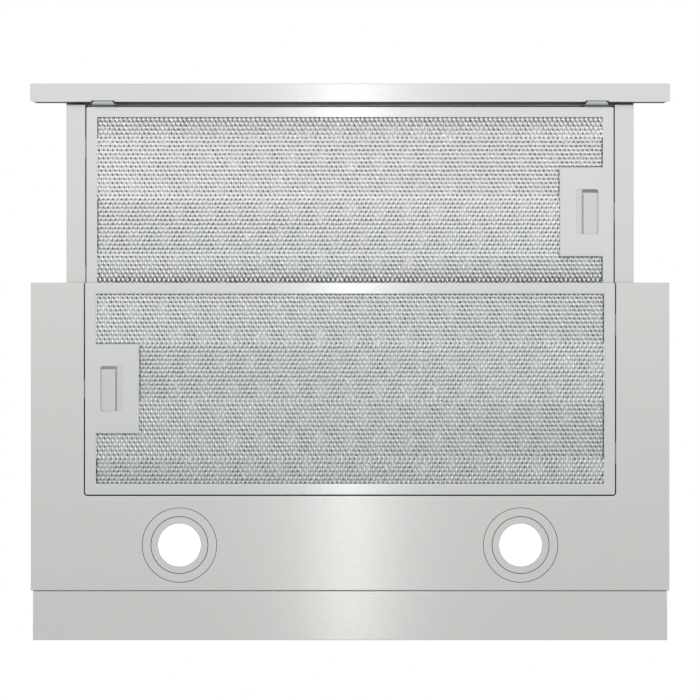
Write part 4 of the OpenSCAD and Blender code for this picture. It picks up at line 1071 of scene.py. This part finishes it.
def painted_net_light(lean, y):
    """Painted light on the net's slopes: brighter where they face the front, darker towards the
    wall.
    """
    base, front_light_gain, rear_shade_fall, rear_shade_from, rear_shade_over = 0.43, 0.42, 0.33, -190, 150
    return base + front_light_gain * (lean > 0) - rear_shade_fall * (y - rear_shade_from) / rear_shade_over


def ribbons(centre, edges, columns, size, tilt, seed):
    """Zigzag ribbons of an expanded net. Ribbon j runs along X between bond rows j and j+1: it
    keeps to a row for the length of a bond, crosses to the other row on a slope, and comes back
    half a pitch later. Both ends of a slope turn about X by the slope's tilt. Centre is (y, z),
    edges the first and last x, columns the numbers of the ribbons, size (pitch, row, width,
    thickness), and tilt(rising, y) the turn of a slope. The third array holds each point's tone
    of painted light."""
    pitch, row, width, thick = size
    lap, slope, play, wobble = 0.22, 0.115, 0.04, 0.02
    first, last = np.round(np.array(edges) / (pitch / 4)).astype(int)
    m = np.arange(first, last + 1)[None, :]
    j = np.asarray(columns)[:, None]
    phase = (m - 2 * j) % 4
    wave = np.choose(phase, [-1, -1, 1, 1])
    random = np.random.default_rng(seed)
    spread = random.normal(size=(3, len(j), m.shape[1]))
    y = centre[0] + (j + 0.5) * row + ((row - width) / 2 + lap) * wave
    lean = tilt((phase == 1) | (phase == 2), y)
    tones = painted_net_light(lean, y)
    lean = lean + wobble * spread[0]
    y = y + play * spread[1]
    x = (m - phase % 2) * pitch / 4 + (2 * (phase % 2) - 1) * slope * pitch + play * spread[2]
    zero = 0 * y
    wide = np.stack([zero, zero + 1, -np.tan(lean)], -1) * width / 2
    deep = np.stack([zero, np.sin(lean), np.cos(lean)], -1) * thick / 2
    middle = np.stack([x, y, zero + centre[1]], -1)
    left, right = middle - wide, middle + wide
    corners = np.stack([left - deep, right - deep, right + deep, left + deep], 2)
    n = np.arange(corners[..., 0].size).reshape(corners.shape[:3])
    a, b = n[:, :-1], n[:, 1:]
    sides = np.stack([a, np.roll(a, -1, 2), np.roll(b, -1, 2), b], -1).reshape(-1, 4)
    ends = np.vstack([n[:, 0, ::-1], n[:, -1]])
    return corners.reshape(-1, 3), np.vstack([sides, ends]), np.repeat(tones.ravel(), 4)


def foil_layers(width, depth):
    """Two foils of the pad, cut out at the latch. Their height goes with the sine of x times the
    sine of y."""
    rise_by, along_x, along_y, inset = 0.35, 0.9, 1.1, 1.5
    latch_x, latch_y = -197.9, 41.3
    x, y = width / 2 - inset, depth / 2 - inset
    us = grid_lines(np.linspace(-x, x, 125), [latch_x])
    vs = grid_lines(np.linspace(-y, y, 51), [-latch_y, latch_y])
    foil = []
    for z, phase in ((3.9, 0.0), (7.2, 1.7)):
        def wave(p):
            rise = rise_by * np.sin(p[:, 0] * along_x + phase) * np.sin(p[:, 1] * along_y + phase)
            return p + np.column_stack([0 * rise, 0 * rise, z + rise])

        foil += mapped(plate(us, vs, drop=[(-x - 1, latch_x, -latch_y, latch_y)]), wave)
    return foil


def build_nets():
    """Expanded nets of zigzag ribbons whose slopes face the front or the wall in turn from band to
    band, with a coarser second layer and a waved foil pad behind them."""
    width, depth, border = sizes("hood_cassette", "width", "depth", "border")
    fine = sizes("hood_net", "pitch", "row", "strand", "strand_thickness")
    (band,) = sizes("hood_net", "band")
    settings = bpy.context.scene.hood_net
    front, back = settings.lean_front, settings.lean_rear
    overlap, coarse, plate_x, plate_half = 1.5, (5.1, 4.6, 2.2, 0.25), 198.4, 40.8
    net_z, coarse_z, margin, seed = 1.6, 2.9, 0.5, 7
    inset = border - overlap
    half_w, half_d = width / 2 - inset, depth / 2 - inset
    band_start = {"fixed": 10.5, "visor": -68.3}
    for name, place, side in CASSETTES:
        middle = place(np.zeros((1, 3)))[0]

        def tilt(rising, y):
            even = np.floor((y - middle[1] - band_start[name]) / band) % 2 == 0
            return np.where(rising == even, front, -back)

        layers = []
        for layer, (z, size) in enumerate(((net_z, fine), (coarse_z, coarse))):
            row = size[1]
            j = np.arange(-int(half_d / row) - 1, int(half_d / row) + 1)
            spot = (j + 0.5) * row
            inside = np.abs(spot) < half_d - row / 2 + margin
            beside = np.abs(spot) < plate_half
            whole, short = (-half_w, half_w), np.sort([side * plate_x, -side * half_w])
            layers.append([
                ribbons((middle[1], middle[2] + z), ends, rows, size, tilt, seed + layer)
                for ends, rows in ((whole, j[inside & ~beside]), (short, j[inside & beside]))
            ])
        net, coarse_net = [[part[:2] for part in layer] for layer in layers]
        # painted light: tones of the fine net's slopes
        tones = [part[2] for part in layers[0]]
        pad = coarse_net + mapped(foil_layers(width, depth), place)
        make_many("cassette_net_" + name, net, "net", ["filter_mesh_" + name], tones=tones)
        make_many("cassette_pad_" + name, pad, "pad", ["filter_core_" + name])


def build_latches():
    """Finger plate: loops step from its outline over the slot's rolled lip into the slot. The tub
    behind it is a stack of rounded rectangles, open where the catch's bolt passes."""
    tub_middle, plate_middle, slot_middle = (-217.2, 0), (-217.6, 0), (-223.0, 0)
    slot_half, slot_r, lip_r = (10.25, 21.0), 2.5, 0.35
    plate_wall, plate_half, bevel_half = 0.6, (20.4, 41.7), (20.3, 41.55)
    tub_wall, tub_half, tub_top_half = 0.8, (19, 41), (18.2, 40.2)
    lip = arc((0, 0), lip_r, -90, 0, 4)
    loops = [rounded_loop(plate_middle, plate_half, 0.6)] * 2
    loops.append(rounded_loop(plate_middle, bevel_half, 0.5))
    for p in lip[:, 0]:
        loops.append(rounded_loop(slot_middle, tuple(h + lip_r - p for h in slot_half), slot_r))
    loops.append(rounded_loop(slot_middle, slot_half, slot_r))
    heights = [0.7, 0.15, 0.0, *(lip_r + lip[:, 1]), 0.8]
    tub = [gated(tub_middle, tub_half, 1.5)] * 4 + [gated(tub_middle, tub_top_half, 1.0)]
    tub_heights = [0.8, GATE_LOW, GATE_HIGH, 7.2, 8.0]
    for name, place, _ in CASSETTES:
        node = "latch_plate_" + name
        outline = mapped([stack_loops(loops, heights)], place)
        parts = mapped([*gated_stack(tub, tub_heights), cap(tub[-1], tub_heights[-1])], place)
        make_piece(
            "finger_plate_" + name, outline, "anodised", [node], DOWN, plate_wall, sharp=50
        )
        make_piece("finger_tub_" + name, parts, "anodised", [node], UP, tub_wall)


def build_catches():
    """Sliding catch: loops step from its outline into a sunk dish with a sloped front end, beside
    which the finger tab stays. A chamfered bolt stands out of it, and a thin dark strip along the
    tab paints the shade line at its edge."""
    x0, x1, shell_y, shell_wall = -235.2, -208.6, 29, 0.4
    middle, half_x, step = ((x0 + x1) / 2, 0), (x1 - x0) / 2, 0.15
    shell = [rounded_loop(middle, (half_x, shell_y), 1.2)] * 2
    shell.append(rounded_loop(middle, (half_x - step, shell_y - step), 1.1))
    shell_heights = [3.8, 1.25, 1.1, 1.1, 5.1]
    bolt_out, bolt_y, chamfer, bolt_low, bolt_high = 8.15, 9.0, 0.4, 1.1, 4.6
    full = rounded_loop((x0 - bolt_out, 0), (bolt_out, bolt_y), 1.0)
    slim = rounded_loop((x0 - bolt_out, 0), (bolt_out - chamfer, bolt_y - chamfer), 0.6)
    bolt_heights = [bolt_low, bolt_low + chamfer, bolt_high - chamfer, bolt_high]
    bolt = [stack_loops([slim, full, full, slim], bolt_heights)]
    bolt += [cap(slim, bolt_low), cap(slim, bolt_high)]
    # painted shade: a thin dark strip beside the finger tab stands for the shade line at its edge
    shade_line_x, shade_line_half, shade_line_z, shade_line_shift = -219.3, (0.4, 18.6), (4.85, 5.3), 1.7
    strip = block(rounded_loop((shade_line_x, 0), shade_line_half, 0.2), shade_line_z)
    rim = rounded_loop((-225.5, 0), (7.7, 21.0), 1.5)
    floor_x, floor_half, floor_shift = -225.75, (7.1, 19.35), 1.25
    for name, place, front in CASSETTES:
        node = "latch_slider_" + name
        floor = rounded_loop((floor_x, -floor_shift * front), floor_half, 1.0)
        parts = [stack_loops([*shell, rim, floor], shell_heights), cap(floor, shell_heights[-1])]
        parts = mapped(parts, place)
        make_piece("latch_catch_" + name, parts, "catch_metal", [node], DOWN, shell_wall, sharp=20)
        parts = mapped(strip, lambda p: place(p - [0, shade_line_shift * front, 0]))
        make_piece("latch_seam_" + name, parts, "sheet_back", [], home=node)
        make_piece("latch_bolt_" + name, mapped(bolt, place), "sheet_back", [node])


def build_springs():
    """Coil springs behind each catch, built at rest: a round wire carried along a helix whose axis
    is
    X. On the real hood the catch presses them together as it slides."""
    start, end, radius, wire, turns = -208.36, -199.24, 1.3, 0.3, 5
    keep, spot_y, spot_z, per_turn, around = 0.45, 10.5, 2.85, 24, 10
    t = np.linspace(0, 1, per_turn * turns + 1)[:, None]
    a = 2 * np.pi * turns * t
    along_x, round_axis = end - start - 2 * wire, 2 * np.pi * turns * radius
    out = np.concatenate([0 * a, np.cos(a), np.sin(a)], 1)
    ahead = [along_x + 0 * a, -round_axis * np.sin(a), round_axis * np.cos(a)]
    ahead = np.concatenate(ahead, 1)
    side = np.cross(ahead / np.linalg.norm(ahead, axis=1)[:, None], out)
    axis_points = np.concatenate([start + wire + along_x * t, 0 * a, spot_z + 0 * a], 1)
    middle = radius * out + axis_points
    b = np.linspace(0, 2 * np.pi, around, endpoint=False)[None, :, None]
    tube = middle[:, None] + wire * (np.cos(b) * out[:, None] + np.sin(b) * side[:, None])
    ends = np.repeat(middle[[0, -1], None], around, 1)
    points, faces = grid_surface(np.concatenate([ends[:1], tube, ends[1:]]), True)
    for name, place, _ in CASSETTES:
        node = "latch_springs_" + name
        coils = [(place(points + [0, y, 0]), faces) for y in (-spot_y, spot_y)]
        piece = make_piece("latch_coils_" + name, coils, "bright_zinc", [node])
        anchor = place(np.array([[end, 0, spot_z]]))[0] * MM
        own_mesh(piece)


def build_lamps():
    """Ring and lens carried round the lamp's axis: the ring has a sharp groove, and the lens is
    slightly domed. Thin black rings of painted shade lie in the groove and in the gap round the
    ring."""
    base = PAN_LOW[2]
    (play,) = sizes("hood_sheet", "hole_play")
    lens_rim, dome_rise, lens_back = 0.4, 0.3, 2.0
    ring_r = (BEZEL_HIGH[0] - BEZEL_LOW[0]) / 2
    lens_r = (LENS_HIGH[0] - LENS_LOW[0]) / 2 - lens_rim
    bore, deep, back = lens_r + 0.1, 0.9, 2.2
    groove, bevel, round_off = (26.3, 26.9), 0.05, 0.1
    ring = np.array([
        (bore, back), (bore, round_off), (lens_r + 0.2, 0.0),
        (groove[0] - bevel, 0.0), (groove[0], bevel), (groove[0], deep),
        (groove[1], deep), (groove[1], bevel), (groove[1] + bevel, 0.0),
        (ring_r - round_off, 0.0), (ring_r, round_off), (ring_r, 0.8),
        (ring_r - 3.0, 1.6), (bore, back),
    ])
    t = np.linspace(0, 1, 9)
    dome = np.column_stack([lens_r * t, 0.1 + dome_rise * t ** 2])
    lens = np.vstack([dome, [[lens_r, lens_back], [0, lens_back]]])
    # painted shade: black rings fill the groove and the gap round the ring, where the shade lines
    # fall
    shade_rings, margin, shade_ring_height = [], 0.02, 0.5
    for inner, outer, low in ((*groove, 0.25), (ring_r, ring_r + play, 0.1)):
        a, b, high = inner + margin, outer - margin, low + shade_ring_height
        shade_rings.append(np.array([(a, low), (b, low), (b, high), (a, high), (a, low)]))
    for side, s in (("left", -1), ("right", 1)):
        centre = (s * LAMP_X, LAMP_Y)
        rings = [lathe(ring + [0, base], centre)]
        glass = [lathe(lens + [0, base], centre)]
        make_piece("lamp_ring_" + side, rings, "satin_steel", ["lamp_bezel_" + side])
        make_piece("lamp_glass_" + side, glass, "lens", ["lamp_lens_" + side])
        rings = [lathe(shade_ring + [0, base], centre) for shade_ring in shade_rings]
        make_piece("lamp_seal_" + side, rings, "rubber", [], home="terminal_box")


def build_housing():
    """The roof is a grid with the duct hole, quarter arcs turn it into walls, and the foot turns
    outwards. Raised-cosine beads are pressed into the roof and round the walls, and fade out
    before the corners."""
    wall, r, edge, depth = sizes("hood_sheet", "thickness", "bend", "edge", "bead")
    foot, turn_r = 12.0, 1.2
    x, front, rear = HOUSING_HIGH[0] - foot, HOUSING_LOW[1] + foot, HOUSING_HIGH[1]
    top, low = HOUSING_HIGH[2], HOUSING_LOW[2] + wall
    reach, duct_r = 64.0, 58.0
    bead_y, bead_half, belt_z, belt_half = (-100.0, 86.0), 7.0, -106.0, 8.0
    roof_end, wall_end = 30, 15  # from the walls to the ends of the beads
    roof_share = 1.5  # depth of the roof's beads as a part of the walls' bead
    gland_x, gland_y = (-240, -150), 40  # the roof stays flat round the cable gland
    lines = np.linspace(-reach, reach, 25)

    def spread(start, end, step=6.0):
        between = np.arange(start, end, step)
        return np.append(between[np.abs(between) > reach + 1], end)

    us = grid_lines(spread(r - x, x - r), lines)
    rest = spread(front + r, rear - r)
    rest = rest[np.min([np.abs(rest - b) for b in bead_y], 0) > bead_half + 1]
    vs = grid_lines(rest, [front + r], lines, *[lines_about(b, bead_half) for b in bead_y])

    def press(p):
        px, py, pz = p.T
        near = 1e-3
        by_gland = (px > gland_x[0]) & (px < gland_x[1]) & (py > gland_y)
        across = np.min([np.abs(py - b) for b in bead_y], 0)
        roof = fade(x - roof_end - np.abs(px)) * ~by_gland * (pz > top - near)
        drop = roof_share * depth * pressed(across, bead_half) * roof
        belt = depth * pressed(pz - belt_z, belt_half)
        on_side = np.abs(px) > x - near
        on_end = (py < front + near) | (py > rear - near)
        to_corner = np.minimum(py - front, rear - py)
        in_x = belt * np.sign(px) * on_side * fade(to_corner - wall_end)
        in_y = belt * np.sign(py) * on_end * fade(x - wall_end - np.abs(px))
        return p - np.column_stack([in_x, in_y, drop])

    parts = at_height(plate(us, vs, [(0, 0, duct_r, reach)]), top)
    corners = [(r - x, front + r), (x - r, front + r), (x - r, rear - r), (r - x, rear - r)]
    loop = cut_path([*corners, corners[0]], us, vs)[:-1]
    rows = [belt_z + belt_half, *lines_about(belt_z, belt_half)[::-1], low + turn_r]
    walls = np.column_stack([np.full(len(rows), r), rows])
    parts.append(skirt(loop, np.vstack([fold_over(r, top), walls]), True))
    a = quarter()[:, None]
    turn = np.hstack([turn_r * (1 - np.cos(a)), low + turn_r * (1 - np.sin(a))])
    path = cut_path([(-x, rear), (-x, front), (x, front), (x, rear)], us, vs)
    parts.append(skirt(path, np.vstack([turn, [[foot, low]]])))
    back = cut_path([(x, rear), (-x, rear)], us)
    parts.append(skirt(back, [[0, low + turn_r], [0, low - wall]]))
    parts = mapped(parts, press)
    make_piece("blower_housing", parts, "galvanised", ["housing_shell"], UP, wall, edge)


def build_brackets():
    """Angle carried along Y: its upright leaf has two screw holes, and a quarter arc turns it into
    the foot."""
    thick, r, rounding, hole, reach, to_hole = 1.5, 2.0, 0.25, 2.5, 6.0, 75
    (x0, y0, z0), (x1, y1, z1) = CABINET_LOW, CABINET_HIGH
    hole_z = (z0 + z1) / 2
    holes = [((y0 + y1) / 2 + d, hole_z, hole, reach) for d in (-to_hole, to_hole)]
    lines = np.linspace(-reach, reach, 9)
    vs = grid_lines([y0, y1], *[h[0] + lines for h in holes])
    leaf = plate(vs, grid_lines([z0 + r, z1], hole_z + lines), holes)
    section = np.vstack([[x0, z0], arc((x1 - r, z0 + r), r, -90, 0, 5)])
    for side, s in (("left", -1), ("right", 1)):
        name, node = "cabinet_angle_" + side, "cabinet_bracket_" + side
        parts = upright(leaf, 0, s * x1) + [along(section * [s, 1], vs, 1)]
        make_piece(name, parts, "bright_zinc", [node], DOWN, thick, rounding)


def screw_shape(head_h, length_mm, head_r=3.2, shank_r=1.9):
    """Pan head screw with its head up: the head is a quarter of an ellipse with a four-pointed
    recess, whose radius goes with the fourth power of the cosine of twice the angle, and the shank
    steps in and out as a thread."""
    brim, waist, root = 0.35, 0.45, 0.86  # parts of the head's height, the points and the thread
    floor_r, recess_r, inner_r, top_r = [head_r * part for part in (0.42, 0.52, 0.53, 0.56)]
    middle_z, floor_z = head_h * 0.3, head_h * 0.45
    t = np.linspace(0, np.pi / 2, 5)
    head = np.column_stack([head_r * np.cos(t), head_h * (brim + (1 - brim) * np.sin(t))])
    head = head[head[:, 0] > top_r]
    recess = [(0.0, middle_z), (floor_r, floor_z), (recess_r, head_h)]
    z = np.linspace(0, -length_mm, 2 * max(4, int(length_mm)) + 1)
    shank = np.column_stack([np.where(np.arange(len(z)) % 2 == 0, shank_r * root, shank_r), z])
    profile = np.vstack([recess, head[::-1], [[head_r, 0.0]], shank, [[0.0, -length_mm]]])
    pointed = ((profile[:, 0] <= inner_r) & (profile[:, 1] > 0))[:, None]

    def cross(a, r):
        return np.where(pointed, r * (waist + (1 - waist) * np.cos(2 * a) ** 4), r)

    return lathe(profile, (0, 0), cross, 24)


def place_screws(shape, spots, along_y=False):
    """The screw shape at each spot, with its head up or towards the wall."""
    points, faces = shape
    if along_y:
        points = np.column_stack([points[:, 0], points[:, 2], -points[:, 1]])
    spots = np.asarray(spots, float)
    shift = (np.arange(len(spots)) * len(points))[:, None, None]
    return (spots[:, None] + points[None]).reshape(-1, 3), (faces[None] + shift).reshape(-1, 4)


def build_screws():
    """Case screws and bar screws as copies of one screw shape at each place."""
    foot, housing_foot, collar_flange = 1.5, 0.8, 2.5  # thicknesses under the heads
    deck, bracket = DECK_HIGH[2], CABINET_LOW[2] + foot
    rim_pairs = (292.2, (-153, -34, 85), deck)  # x on both sides, each y, and height
    side_pairs = (269, (-141.7, -58.7, 24.3), bracket)
    runner_pairs = (280.3, (-168, 48), deck)
    rim, sides, runners = [
        [(s * x, y, z) for s in (-1, 1) for y in ys]
        for x, ys, z in (rim_pairs, side_pairs, runner_pairs)
    ]
    rim += [(x, 103.7, deck) for x in (-199, 0, 199)]
    front = [(x, -160, deck + housing_foot) for x in (-175.3, 0, 175.3)]
    collar_r, collar_z = 69, HOUSING_HIGH[2] + collar_flange
    turns = np.radians([45, 135, 225, 315])
    collar = [(collar_r * math.cos(a), collar_r * math.sin(a), collar_z) for a in turns]
    spacer = [(x, 111.2, -196.0) for x in (-197.7, -65.9, 65.9, 197.7)]
    bar_y, to_clip = -351.8, 5.3
    bar = [(s * CLIP_X + d, bar_y, BAR_HIGH[2]) for s in (-1, 1) for d in (-to_clip, to_clip)]
    pan_head, flat_head = 1.8, 0.8
    long_screw, short_screw = screw_shape(pan_head, 4.6), screw_shape(pan_head, 3.0)
    flat_screw = screw_shape(flat_head, 6.0)
    parts = [place_screws(long_screw, rim + collar)]
    parts.append(place_screws(short_screw, sides + runners + front))
    parts.append(place_screws(short_screw, spacer, True))
    make_many("case_screw_set", parts, "screw", ["case_screws"], 35)
    make_many("bar_screw_set", [place_screws(flat_screw, bar)], "screw", ["bar_screws"], 35)


def dress_frame():
    """Gives every frame node that still shows the procedural finish of its slot."""
    for name, obj in frame["nodes"].items():
        if not obj.hide_render:
            obj.data.materials.clear()
            obj.data.materials.append(finish(SLOT_FINISH[SLOTS[name]]))


# Studio, in metres


def area_light(name, spot, target, size, power):
    """Soft rectangular lamp that looks from a spot at a target and isn't seen by the camera."""
    data = bpy.data.lights.new(name, "AREA")
    data.shape = "RECTANGLE"
    data.size, data.size_y = size
    data.energy = power
    lamp = bpy.data.objects.new(name, data)
    bpy.context.scene.collection.objects.link(lamp)
    lamp.location = spot
    lamp.rotation_mode = "QUATERNION"
    lamp.rotation_quaternion = (Vector(target) - Vector(spot)).to_track_quat("-Z", "Y")
    lamp.visible_camera = False


def soft_panel(name, y0, y1, z, glow):
    """Wide soft panel that looks up; its power is pi times its area times its radiance."""
    half_x = 4.0
    middle, size = (y0 + y1) / 2, (2 * half_x, y1 - y0)
    area_light(name, (0, middle, z), (0, middle, 0), size, math.pi * size[0] * size[1] * glow)


def build_world():
    """White surroundings, at full strength for the camera and reflections, softer as a light."""
    light_strength = 0.6
    world = bpy.data.worlds.new("Studio")
    bpy.context.scene.world = world
    world.use_nodes = True
    tree = world.node_tree
    background = tree.nodes["Background"]
    background.inputs["Color"].default_value = (1, 1, 1, 1)
    path = tree.nodes.new("ShaderNodeLightPath")
    seen = path.outputs["Is Camera Ray"]
    for kind in ("Is Glossy Ray", "Is Transmission Ray"):
        larger = tree.nodes.new("ShaderNodeMath")
        larger.operation = "MAXIMUM"
        tree.links.new(seen, larger.inputs[0])
        tree.links.new(path.outputs[kind], larger.inputs[1])
        seen = larger.outputs[0]
    strength = tree.nodes.new("ShaderNodeMapRange")
    strength.inputs["To Min"].default_value = light_strength
    strength.inputs["To Max"].default_value = 1.0
    tree.links.new(seen, strength.inputs["Value"])
    tree.links.new(strength.outputs["Result"], background.inputs["Strength"])


def build_floor(height):
    """Wide pale floor that keeps the hood's shadow and looks white, also in reflections."""
    half, count, seen_white = 30, 40, 0.75
    s = Shader("studio_floor")
    tone = s.tones(s.noise(s.place, 3, 2), [(0.3, (0.78, 0.78, 0.77)), (0.7, (0.82, 0.82, 0.81))])
    s.set(Base_Color=tone, Roughness=0.9)
    glow = s.add("ShaderNodeEmission", [("Color", (1, 1, 1, 1)), ("Strength", 1.0)])
    path = s.add("ShaderNodeLightPath")
    kinds = [(0, path.outputs["Is Camera Ray"]), (1, path.outputs["Is Glossy Ray"])]
    either = s.add("ShaderNodeMath", kinds, operation="MAXIMUM")
    share = [(0, either.outputs[0]), (1, seen_white)]
    part = s.add("ShaderNodeMath", share, operation="MULTIPLY")
    values = [("Fac", part.outputs[0]), (1, s.surface.outputs[0]), (2, glow.outputs[0])]
    blend = s.add("ShaderNodeMixShader", values)
    s.put(s.tree.nodes["Material Output"].inputs["Surface"], blend.outputs[0])
    spots = np.linspace(-half, half, count)
    flat = np.meshgrid(spots, spots, indexing="ij")
    points, faces = grid_surface(np.stack([*flat, np.full((count, count), height)], -1))
    mesh = bpy.data.meshes.new("floor")
    mesh.from_pydata(points.tolist(), [], faces.tolist())
    mesh.materials.append(s.material)
    floor = bpy.data.objects.new("floor", mesh)
    bpy.context.scene.collection.objects.link(floor)


def build_stage():
    """Camera straight below the hood, pale floor, white surroundings and soft lamps."""
    scene = bpy.context.scene
    studio = scene.hood_studio
    scene.view_settings.view_transform = "Standard"
    camera = bpy.data.cameras.new("Camera")
    camera.lens, camera.sensor_width, camera.clip_end = studio.lens, 36, 50
    eye = bpy.data.objects.new("Camera", camera)
    scene.collection.objects.link(eye)
    eye.location = (0, studio.camera_y, PAN_LOW[2] * MM - studio.camera_drop)
    eye.rotation_euler = (math.pi, 0, 0)
    scene.camera = eye
    build_world()
    build_floor(studio.floor_z)
    power = studio.strip_power
    strips = (("Strip", -0.33, 1.14, power), ("Strip_front", -0.47, 0.6, power / 6))
    strip_z, strip_width = -0.66, 0.02
    for name, y, reach, watts in strips:
        area_light(name, (0, y, strip_z), (0, y, 0), (strip_width, reach), watts)
    panel_z, panel_step, panel_front = -2.9, 0.04, -3.1
    for i, end in enumerate((0.15, -0.15, -0.45)):
        soft_panel(f"Front_{i}", panel_front, end, panel_z - panel_step * i, studio.panel_glow)
    above, roof, above_size = (-0.8, -0.6, 2.4), (0, 0, -0.1), (5.0, 5.0)
    area_light("Above", above, roof, above_size, studio.top_power)


# Operators


class HOOD_OT_panel(bpy.types.Operator):
    """Makes the folded underside panel with its notch and lamp holes"""

    bl_idname = "hood.panel"
    bl_label = "Underside panel"

    def execute(self, context):
        build_panel()
        return {"FINISHED"}


class HOOD_OT_spacer(bpy.types.Operator):
    """Makes the strip between the hood and the wall"""

    bl_idname = "hood.spacer"
    bl_label = "Wall spacer"

    def execute(self, context):
        build_spacer()
        return {"FINISHED"}


class HOOD_OT_bar(bpy.types.Operator):
    """Makes the folded front bar"""

    bl_idname = "hood.bar"
    bl_label = "Front bar"

    def execute(self, context):
        build_bar()
        return {"FINISHED"}


class HOOD_OT_buttons(bpy.types.Operator):
    """Makes the five push buttons"""

    bl_idname = "hood.buttons"
    bl_label = "Push buttons"

    def execute(self, context):
        build_buttons()
        return {"FINISHED"}


class HOOD_OT_clips(bpy.types.Operator):
    """Makes the two clips between the bar and the visor, and the dark dots of painted shade on them
    """

    bl_idname = "hood.clips"
    bl_label = "Bar clips"

    def execute(self, context):
        build_clips()
        return {"FINISHED"}


class HOOD_OT_tray(bpy.types.Operator):
    """Makes the visor's tray and rails"""

    bl_idname = "hood.tray"
    bl_label = "Visor tray"

    def execute(self, context):
        build_tray()
        return {"FINISHED"}


class HOOD_OT_borders(bpy.types.Operator):
    """Makes the aluminium borders of both filter cassettes"""

    bl_idname = "hood.borders"
    bl_label = "Cassette borders"

    def execute(self, context):
        build_borders()
        return {"FINISHED"}


class HOOD_OT_nets(bpy.types.Operator):
    """Makes the expanded nets and the pads behind them"""

    bl_idname = "hood.nets"
    bl_label = "Cassette nets"

    def execute(self, context):
        build_nets()
        return {"FINISHED"}


class HOOD_OT_latches(bpy.types.Operator):
    """Makes the finger plates and the tubs behind them"""

    bl_idname = "hood.latches"
    bl_label = "Finger plates"

    def execute(self, context):
        build_latches()
        return {"FINISHED"}


class HOOD_OT_catches(bpy.types.Operator):
    """Makes the sliding catches, their bolts and the dark strips of painted shade beside their
    finger tabs
    """

    bl_idname = "hood.catches"
    bl_label = "Catches"

    def execute(self, context):
        build_catches()
        return {"FINISHED"}


class HOOD_OT_springs(bpy.types.Operator):
    """Makes the coil springs behind the catches"""

    bl_idname = "hood.springs"
    bl_label = "Springs"

    def execute(self, context):
        build_springs()
        return {"FINISHED"}


class HOOD_OT_lamps(bpy.types.Operator):
    """Makes the lamp rings, lenses and black rings of painted shade"""

    bl_idname = "hood.lamps"
    bl_label = "Lamps"

    def execute(self, context):
        build_lamps()
        return {"FINISHED"}


class HOOD_OT_housing(bpy.types.Operator):
    """Makes the galvanised blower housing"""

    bl_idname = "hood.housing"
    bl_label = "Blower housing"

    def execute(self, context):
        build_housing()
        return {"FINISHED"}


class HOOD_OT_brackets(bpy.types.Operator):
    """Makes the two brackets that hold the hood to its cabinet"""

    bl_idname = "hood.brackets"
    bl_label = "Cabinet brackets"

    def execute(self, context):
        build_brackets()
        return {"FINISHED"}


class HOOD_OT_screws(bpy.types.Operator):
    """Makes the case screws and the bar screws"""

    bl_idname = "hood.screws"
    bl_label = "Screws"

    def execute(self, context):
        build_screws()
        return {"FINISHED"}


class HOOD_OT_finishes(bpy.types.Operator):
    """Gives the frame's own parts their finishes"""

    bl_idname = "hood.finishes"
    bl_label = "Finishes of the frame"

    def execute(self, context):
        dress_frame()
        return {"FINISHED"}


class HOOD_OT_stage(bpy.types.Operator):
    """Makes the camera, floor, surroundings and lamps"""

    bl_idname = "hood.stage"
    bl_label = "Studio"

    def execute(self, context):
        build_stage()
        return {"FINISHED"}


OPERATORS = (
    HOOD_OT_panel, HOOD_OT_spacer, HOOD_OT_bar, HOOD_OT_buttons, HOOD_OT_clips, HOOD_OT_tray,
    HOOD_OT_borders, HOOD_OT_nets, HOOD_OT_latches, HOOD_OT_catches, HOOD_OT_springs,
    HOOD_OT_lamps, HOOD_OT_housing, HOOD_OT_brackets, HOOD_OT_screws, HOOD_OT_finishes,
    HOOD_OT_stage,
)


class HOOD_PT_panel(bpy.types.Panel):
    """Sidebar panel with the sizes and the building steps"""

    bl_idname = "HOOD_PT_panel"
    bl_label = "Range Hood"
    bl_space_type = "VIEW_3D"
    bl_region_type = "UI"
    bl_category = "Range Hood"

    def draw(self, context):
        for group, kind in GROUPS.items():
            column = self.layout.column(align=True)
            for name in kind.__annotations__:
                column.prop(getattr(context.scene, group), name)
        for operator in OPERATORS:
            self.layout.operator(operator.bl_idname)


def register():
    """Registers the property groups, operators and panel."""
    for name, kind in GROUPS.items():
        bpy.utils.register_class(kind)
        setattr(bpy.types.Scene, name, PointerProperty(type=kind))
    for kind in (*OPERATORS, HOOD_PT_panel):
        bpy.utils.register_class(kind)


def unregister():
    """Takes away what register added."""
    for kind in (HOOD_PT_panel, *OPERATORS[::-1]):
        bpy.utils.unregister_class(kind)
    for name, kind in GROUPS.items():
        delattr(bpy.types.Scene, name)
        bpy.utils.unregister_class(kind)


def main():
    """Runs every building step in order."""
    register()
    for operator in OPERATORS:
        group, name = operator.bl_idname.split(".")
        getattr(getattr(bpy.ops, group), name)()
    bpy.context.view_layer.update()


if __name__ == "__main__":
    main()
